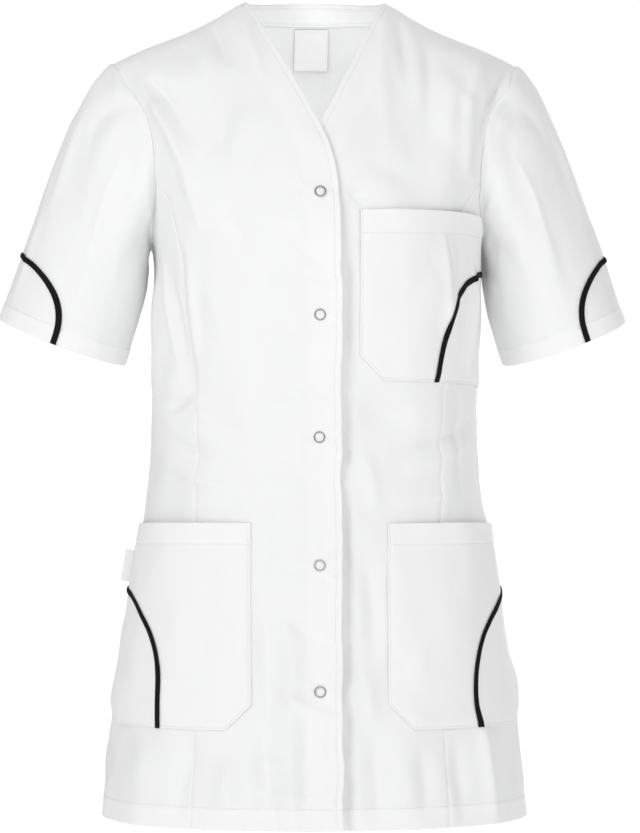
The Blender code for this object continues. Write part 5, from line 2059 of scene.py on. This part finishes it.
    def sew(self, part: str, *lines: tuple[Array, Array | float]) -> Piece:
        """Sews rows of stitches along lines on the pocket.

        Args:
            part: What is added to the pocket's name for the piece that they lie on.
            *lines: Each line's girths, on the pocket's own side, and levels.

        Returns:
            The stitches.
        """
        sewing = Seamwork(f"{self.name}{part}_stitches")
        for own, level in lines:
            own, level = np.broadcast_arrays(own, level)
            girth = self.side.value * own
            points = self.on_body(girth, level, self.height(girth, level))
            sewing.row(points, FRONT.normal(girth, self.raised(own, level)))
        return sewing.build()

    def build(self) -> None:
        """Makes the main piece, the inset and the strip with their stitches."""
        rows = self.rows()
        main = self.grid(rows, self.inner_edge(rows), self.curve(rows) - SEAM / 2, True)
        low = rows[rows < self.curve_top - 0.0004]
        inset = self.grid(low, self.curve(low) + SEAM / 2, self.outer_edge(low), False)
        row, corner, mouth = self.bottom + self.stitch, self.bottom + self.chamfer, self.top - self.hem
        ends = np.array([self.bottom, mouth])
        curve, out, start = self.curve(ends), self.outer_edge(ends), self.inner_edge(ends)
        side_levels, cut_levels = np.linspace(self.top - 0.001, corner, 160), np.linspace(corner, row, 30)
        cut_line = self.inner_edge(cut_levels) + self.stitch * 1.41
        sewing = self.sew(
            "",
            (self.inner_edge(side_levels) + self.stitch, side_levels),
            (cut_line, cut_levels),
            (np.linspace(cut_line[-1], curve[0] - 0.001, 80), row),
            (np.linspace(start[1] + 0.001, curve[1] - 0.001, 120), mouth),
        )
        lay_sheet(main, self.name, TWILL, f"front_{self.side.word}_cloth", [sewing])
        out_levels = np.linspace(row, self.curve_top - 0.008, 120)
        bottom_line = (np.linspace(curve[0] + self.piping, out[0] - 0.001, 80), row)
        sewing = self.sew("_inset", bottom_line, (self.outer_edge(out_levels) - self.stitch, out_levels))
        lay_sheet(inset, self.name + "_inset", TWILL, self.name + "_cloth", [sewing])
        lay_sheet(self.make_piping(), self.name + "_piping", BLACK_STRIP, self.name + "_inset_cloth")


@dataclass
class Pockets:
    """The chest pocket and the two lower pockets."""

    inner: float = 0.0570
    top: float = -0.446
    curve_top: float = -0.500
    bottom: float = -0.6170
    reach: float = 0.112
    fullness: float = 2.1
    belly: float = 0.0022
    outer_chamfer: float = 0.026

    def build(self) -> None:
        """Makes every pocket."""
        PatchPocket(
            "chest_pocket",
            Side.LEFT,
            inner=0.0335,
            top=-0.1870,
            curve_top=-0.2315,
            bottom=-0.3265,
            reach=0.1095,
            fullness=3.0,
            belly=0.0012,
            gape=0.0012,
            seed=201,
            corner=0.052,
            tilt=0.009,
        ).build()
        for side, gape, seed in ((Side.RIGHT, 0.0022, 211), (Side.LEFT, 0.0018, 221)):
            PatchPocket("pocket_" + side.word, side, gape=gape, seed=seed, **vars(self)).build()


# ---- small pieces


@dataclass
class BareLabels:
    """The bare neck label and the bare folded tab at the outer edge of the lower right pocket."""

    width: float = 0.032
    drop: float = 0.034
    top: float = -0.0015
    gap: float = 0.0009
    hang: float = 0.0022
    curl: float = 0.0012
    wall: float = 0.0008
    stitch: float = 0.0022
    tab_out: float = 0.009
    tab_top: float = -0.470
    tab_bottom: float = -0.497
    tab_in: float = 0.004
    tab_wall: float = 0.0014
    pitch: float = 0.0012

    def make_neck_label(self) -> None:
        """Makes the label that hangs inside the back from the neck seam, its lower edge folded."""
        half = self.width / 2
        down = spread(0.0, self.drop, self.pitch, [*EDGE, *beside(self.stitch), *(self.drop - d for d in EDGE)])
        side = spread(-half, half, self.pitch, [sign * (half - d) for d in EDGE for sign in (-1, 1)])
        girth, below = np.meshgrid(side, down)
        level = self.top - below
        share = below / self.drop
        corner = np.clip(girth / half, -1, 1)
        away = self.gap + self.hang * share + self.curl * share**2 * (corner * 0.6 + 0.4) ** 2
        away += 0.0003 * lumps(girth, level, 0.012, 0.014, 301) * share
        wall = self.wall + 0.0004 * smooth((0.0042 - (self.drop - below)) / 0.001)
        front = BACK.relief(girth, level) - WALL - away - wall
        front -= rounded(np.minimum(half - np.abs(girth), below + 0.0004), 0.0003)
        front -= groove(below - self.stitch, 0.0002, 0.0006)
        outer = BACK.cloth(girth, level, front)
        inner = BACK.cloth(girth, level, front + wall)
        grid = ClothGrid(outer, inner, np.stack([girth, level], axis=-1), np.ones(girth.shape))
        sewing = Seamwork("neck_label_stitches", pitch=0.0026, length=0.0020)
        line = np.linspace(-half + 0.001, half - 0.001, 40)
        row = int(np.argmin(np.abs(down - self.stitch)))
        points = np.stack([np.interp(line, side, outer[row, :, k]) for k in range(3)], axis=1)
        sewing.row(points, -BACK.normal(line, np.full(line.shape, level[row, 0])))
        lay_sheet(grid, "neck_label", WOVEN_TAPE, "back_collar_cloth", [sewing.build()])

    def make_tab(self) -> None:
        """Makes the folded tab that stands out sideways from the pocket's edge."""
        tall = self.tab_top - self.tab_bottom
        up = spread(0.0, tall, self.pitch, [*EDGE, *(tall - d for d in EDGE)])
        away, rise = np.meshgrid(np.linspace(0.0, self.tab_out, 15), up)
        level = self.tab_bottom + rise
        edge = EDGES.side_outer(level)
        from_edge = np.minimum(np.minimum(rise, tall - rise), self.tab_out - away)
        thin = -rounded(from_edge, self.tab_wall / 2 - 0.0001)
        sway = 0.0007 * (away / self.tab_out) ** 2 * np.sin(3.0 * level / tall)
        height = FRONT.relief(-edge, level) + SEAM + 0.0008 + WALL + away
        walls = []
        for depth, sign in ((self.tab_in + self.tab_wall, -1), (self.tab_in, 1)):
            walls.append(FRONT.cloth(depth - edge - sway + sign * thin, level, height))
        grid = ClothGrid(*walls, np.stack([away, level], axis=-1), np.ones(away.shape))
        lay_sheet(grid, "pocket_tab", WOVEN_TAPE, "pocket_right_cloth")

    def build(self) -> None:
        """Makes the label and the tab."""
        self.make_neck_label()
        self.make_tab()


@dataclass
class Snaps:
    """Five snaps: an open ring outside, a coupling between the layers and a ring inside."""

    outer: float = 0.00490
    hole: float = 0.00370
    thick: float = 0.0012
    sunk: float = 0.0002
    rounding: float = 0.00042
    near: float = 1e-6  # how close two measures of the ring's model count as the same

    def make_ring(self) -> bpy.types.Mesh:
        """Turns an open ring from a short cylinder: its ends inset, bridged into a hole and bevelled.

        Returns:
            The ring's mesh, round Z.
        """
        bpy.ops.object.select_all(action="DESELECT")
        bpy.ops.mesh.primitive_cylinder_add(vertices=48, radius=self.outer, depth=self.thick)
        ring = bpy.context.object
        ring.name = "snap_ring_model"
        bpy.ops.object.mode_set(mode="EDIT")
        bpy.ops.mesh.select_mode(type="FACE")
        bpy.ops.mesh.select_all(action="DESELECT")
        shape = bmesh.from_edit_mesh(ring.data)
        for face in shape.faces:
            face.select = abs(face.normal.z) > 0.9
        bmesh.update_edit_mesh(ring.data)
        bpy.ops.mesh.inset(thickness=self.outer - self.hole)
        bpy.ops.mesh.bridge_edge_loops()
        bpy.ops.mesh.select_all(action="DESELECT")
        bpy.ops.mesh.select_mode(type="EDGE")
        shape = bmesh.from_edit_mesh(ring.data)
        for edge in shape.edges:
            first, last = (v.co for v in edge.verts)
            level = all(abs(abs(place.z) - self.thick / 2) < self.near for place in (first, last))
            around = abs(first.xy.length - last.xy.length) < self.near
            edge.select = level and around and abs(first.z - last.z) < self.near
        bmesh.update_edit_mesh(ring.data)
        bpy.ops.mesh.bevel(offset=self.rounding, segments=4, affect="EDGES")
        bpy.ops.mesh.select_all(action="SELECT")
        bpy.ops.mesh.normals_make_consistent(inside=False)
        bpy.ops.object.mode_set(mode="OBJECT")
        bpy.ops.object.shade_smooth()
        mesh = ring.data
        bpy.data.objects.remove(ring)
        return mesh

    def place(self, level: float, height: float) -> Matrix:
        """Gives the place and direction of a snap's piece on the centre line.

        Args:
            level: The snap's level.
            height: Its height above the lower front.

        Returns:
            The matrix from the piece's own frame.
        """
        girth, levels = np.zeros(1), np.full(1, level)
        point = Vector(FRONT.cloth(girth, levels, height + FRONT.relief(girth, levels))[0])
        normal = Vector(FRONT.normal(girth, levels)[0])
        return Matrix.Translation(point) @ normal.to_track_quat("Z", "Y").to_matrix().to_4x4()

    def build(self) -> None:
        """Makes the rings and dresses the couplings."""
        model = self.make_ring()
        for index, level in enumerate(SNAP_LEVELS, start=1):
            lift = float(PLACKET.raised(np.zeros(1), np.full(1, level))[0])
            heights = {"snap_ring_": lift + self.thick / 2 - self.sunk, "snap_back_": -WALL - self.thick / 2}
            for start, height in heights.items():
                mesh = model.copy()
                mesh.transform(self.place(level, height))
                mesh.materials.append(NICKEL.material())
                show(add_object(f"{start}{index}_metal", mesh), NICKEL, f"{start}{index}")
            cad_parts[f"snap_coupling_{index}"].material_slots[0].material = NICKEL.material()
        LOG.info("snaps: %d rings outside and inside", len(SNAP_LEVELS))
        bpy.data.meshes.remove(model)


# ---- the studio


@dataclass
class Studio:
    """A pale floor, soft light and the camera."""

    floor: float = -1.40  # as far below as when a standing person wears the tunic
    floor_radius: float = 5.4
    ambient: float = 0.44
    white: float = 1.06  # how bright the camera sees the surround
    darker: float = 0.32  # how much less of the surround metal mirrors
    distance: float = 2.2
    azimuth: float = 2.0
    eye: float = -0.446
    lens: float = 108.0
    aim_across: float = 0.00484
    aim_up: float = 0.09416
    middle: Point = (0.0, 0.0, -0.36)

    def make_floor(self) -> None:
        """Makes a wide round floor below the tunic."""
        bpy.ops.object.select_all(action="DESELECT")
        place = (0, 0, self.floor)
        bpy.ops.mesh.primitive_circle_add(vertices=96, radius=self.floor_radius, fill_type="NGON", location=place)
        floor = bpy.context.object
        floor.name = "studio_floor"
        floor.data.materials.append(StudioFinish("studio_white", Slot.CLOTH).material())

    def make_light(self, name: str, place: Point, aim: Point, size: float, power: float) -> None:
        """Hangs a soft square light that the camera doesn't see.

        Args:
            name: The light's name.
            place: Where it hangs.
            aim: The point that it faces.
            size: The length of its side.
            power: Its power in watts.
        """
        data = bpy.data.lights.new(name, "AREA")
        data.shape = "SQUARE"
        data.size = size
        data.energy = power
        light = add_object(name, data)
        light.visible_camera = False
        light.matrix_world = self.facing(Vector(place), Vector(aim))

    @staticmethod
    def facing(place: Vector, aim: Vector) -> Matrix:
        """Gives the matrix of a light or camera that faces a point."""
        return Matrix.Translation(place) @ (aim - place).to_track_quat("-Z", "Y").to_matrix().to_4x4()

    def make_world(self) -> None:
        """Makes an even surround that lights softly and shows white."""
        world = bpy.data.worlds.new("studio_surround")
        world.use_nodes = True
        bpy.context.scene.world = world
        desk = ShaderDesk(world.node_tree)
        seen = desk.value("LightPath", {}, {}, "Is Camera Ray")
        mirrored = desk.value("LightPath", {}, {}, "Is Glossy Ray")
        strength = self.ambient + seen * (self.white - self.ambient) - mirrored * self.darker
        inputs = {"Color": (1.0, 1.0, 1.0, 1.0), "Strength": strength}
        desk.finish(desk.make("Background", {}, inputs), "OutputWorld")

    def make_camera(self) -> None:
        """Sets the camera at the photograph's angle."""
        data = bpy.data.cameras.new("photo_camera")
        data.lens = self.lens
        camera = add_object("photo_camera", data)
        turn = math.radians(self.azimuth)
        place = Vector((-self.distance * math.sin(turn), -self.distance * math.cos(turn), self.eye))
        across = Vector((math.cos(turn), -math.sin(turn), 0.0))
        camera.matrix_world = self.facing(place, across * self.aim_across + Vector((0.0, 0.0, self.eye + self.aim_up)))
        bpy.context.scene.camera = camera

    def build(self) -> None:
        """Makes the whole studio."""
        self.make_floor()
        self.make_world()
        for name, place, aim, size, power in (
            ("key", (-1.9, -2.0, 0.55), self.middle, 1.3, 19.5),
            ("front", (0.3, -2.9, 0.35), self.middle, 1.2, 11.5),
            ("top", (-0.3, -0.9, 1.7), (0.0, 0.0, 0.0), 1.2, 6.0),
            ("fill", (1.4, -2.2, 0.45), self.middle, 1.5, 9.5),
            ("rear", (1.2, 2.1, 0.6), self.middle, 1.5, 24.0),
            ("inside", (0.0, -0.075, -0.185), (0.0, 0.085, -0.070), 0.10, 0.19),
        ):
            self.make_light(name, place, aim, size, power)
        self.make_camera()
        bpy.context.scene.view_settings.view_transform = "Standard"


def main() -> None:
    """Dresses the tunic piece by piece."""
    logging.basicConfig(level=logging.INFO, format="%(message)s", force=True)
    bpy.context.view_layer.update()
    sleeves = [Sleeve(SleeveSurface(side)) for side in Side]
    for part in (BodyPanels(), Collar(), *sleeves, Pockets(), Snaps(), BareLabels(), Studio()):
        LOG.info("making %s", type(part).__name__)
        part.build()
    bpy.context.view_layer.update()


if __name__ == "__main__":
    main()
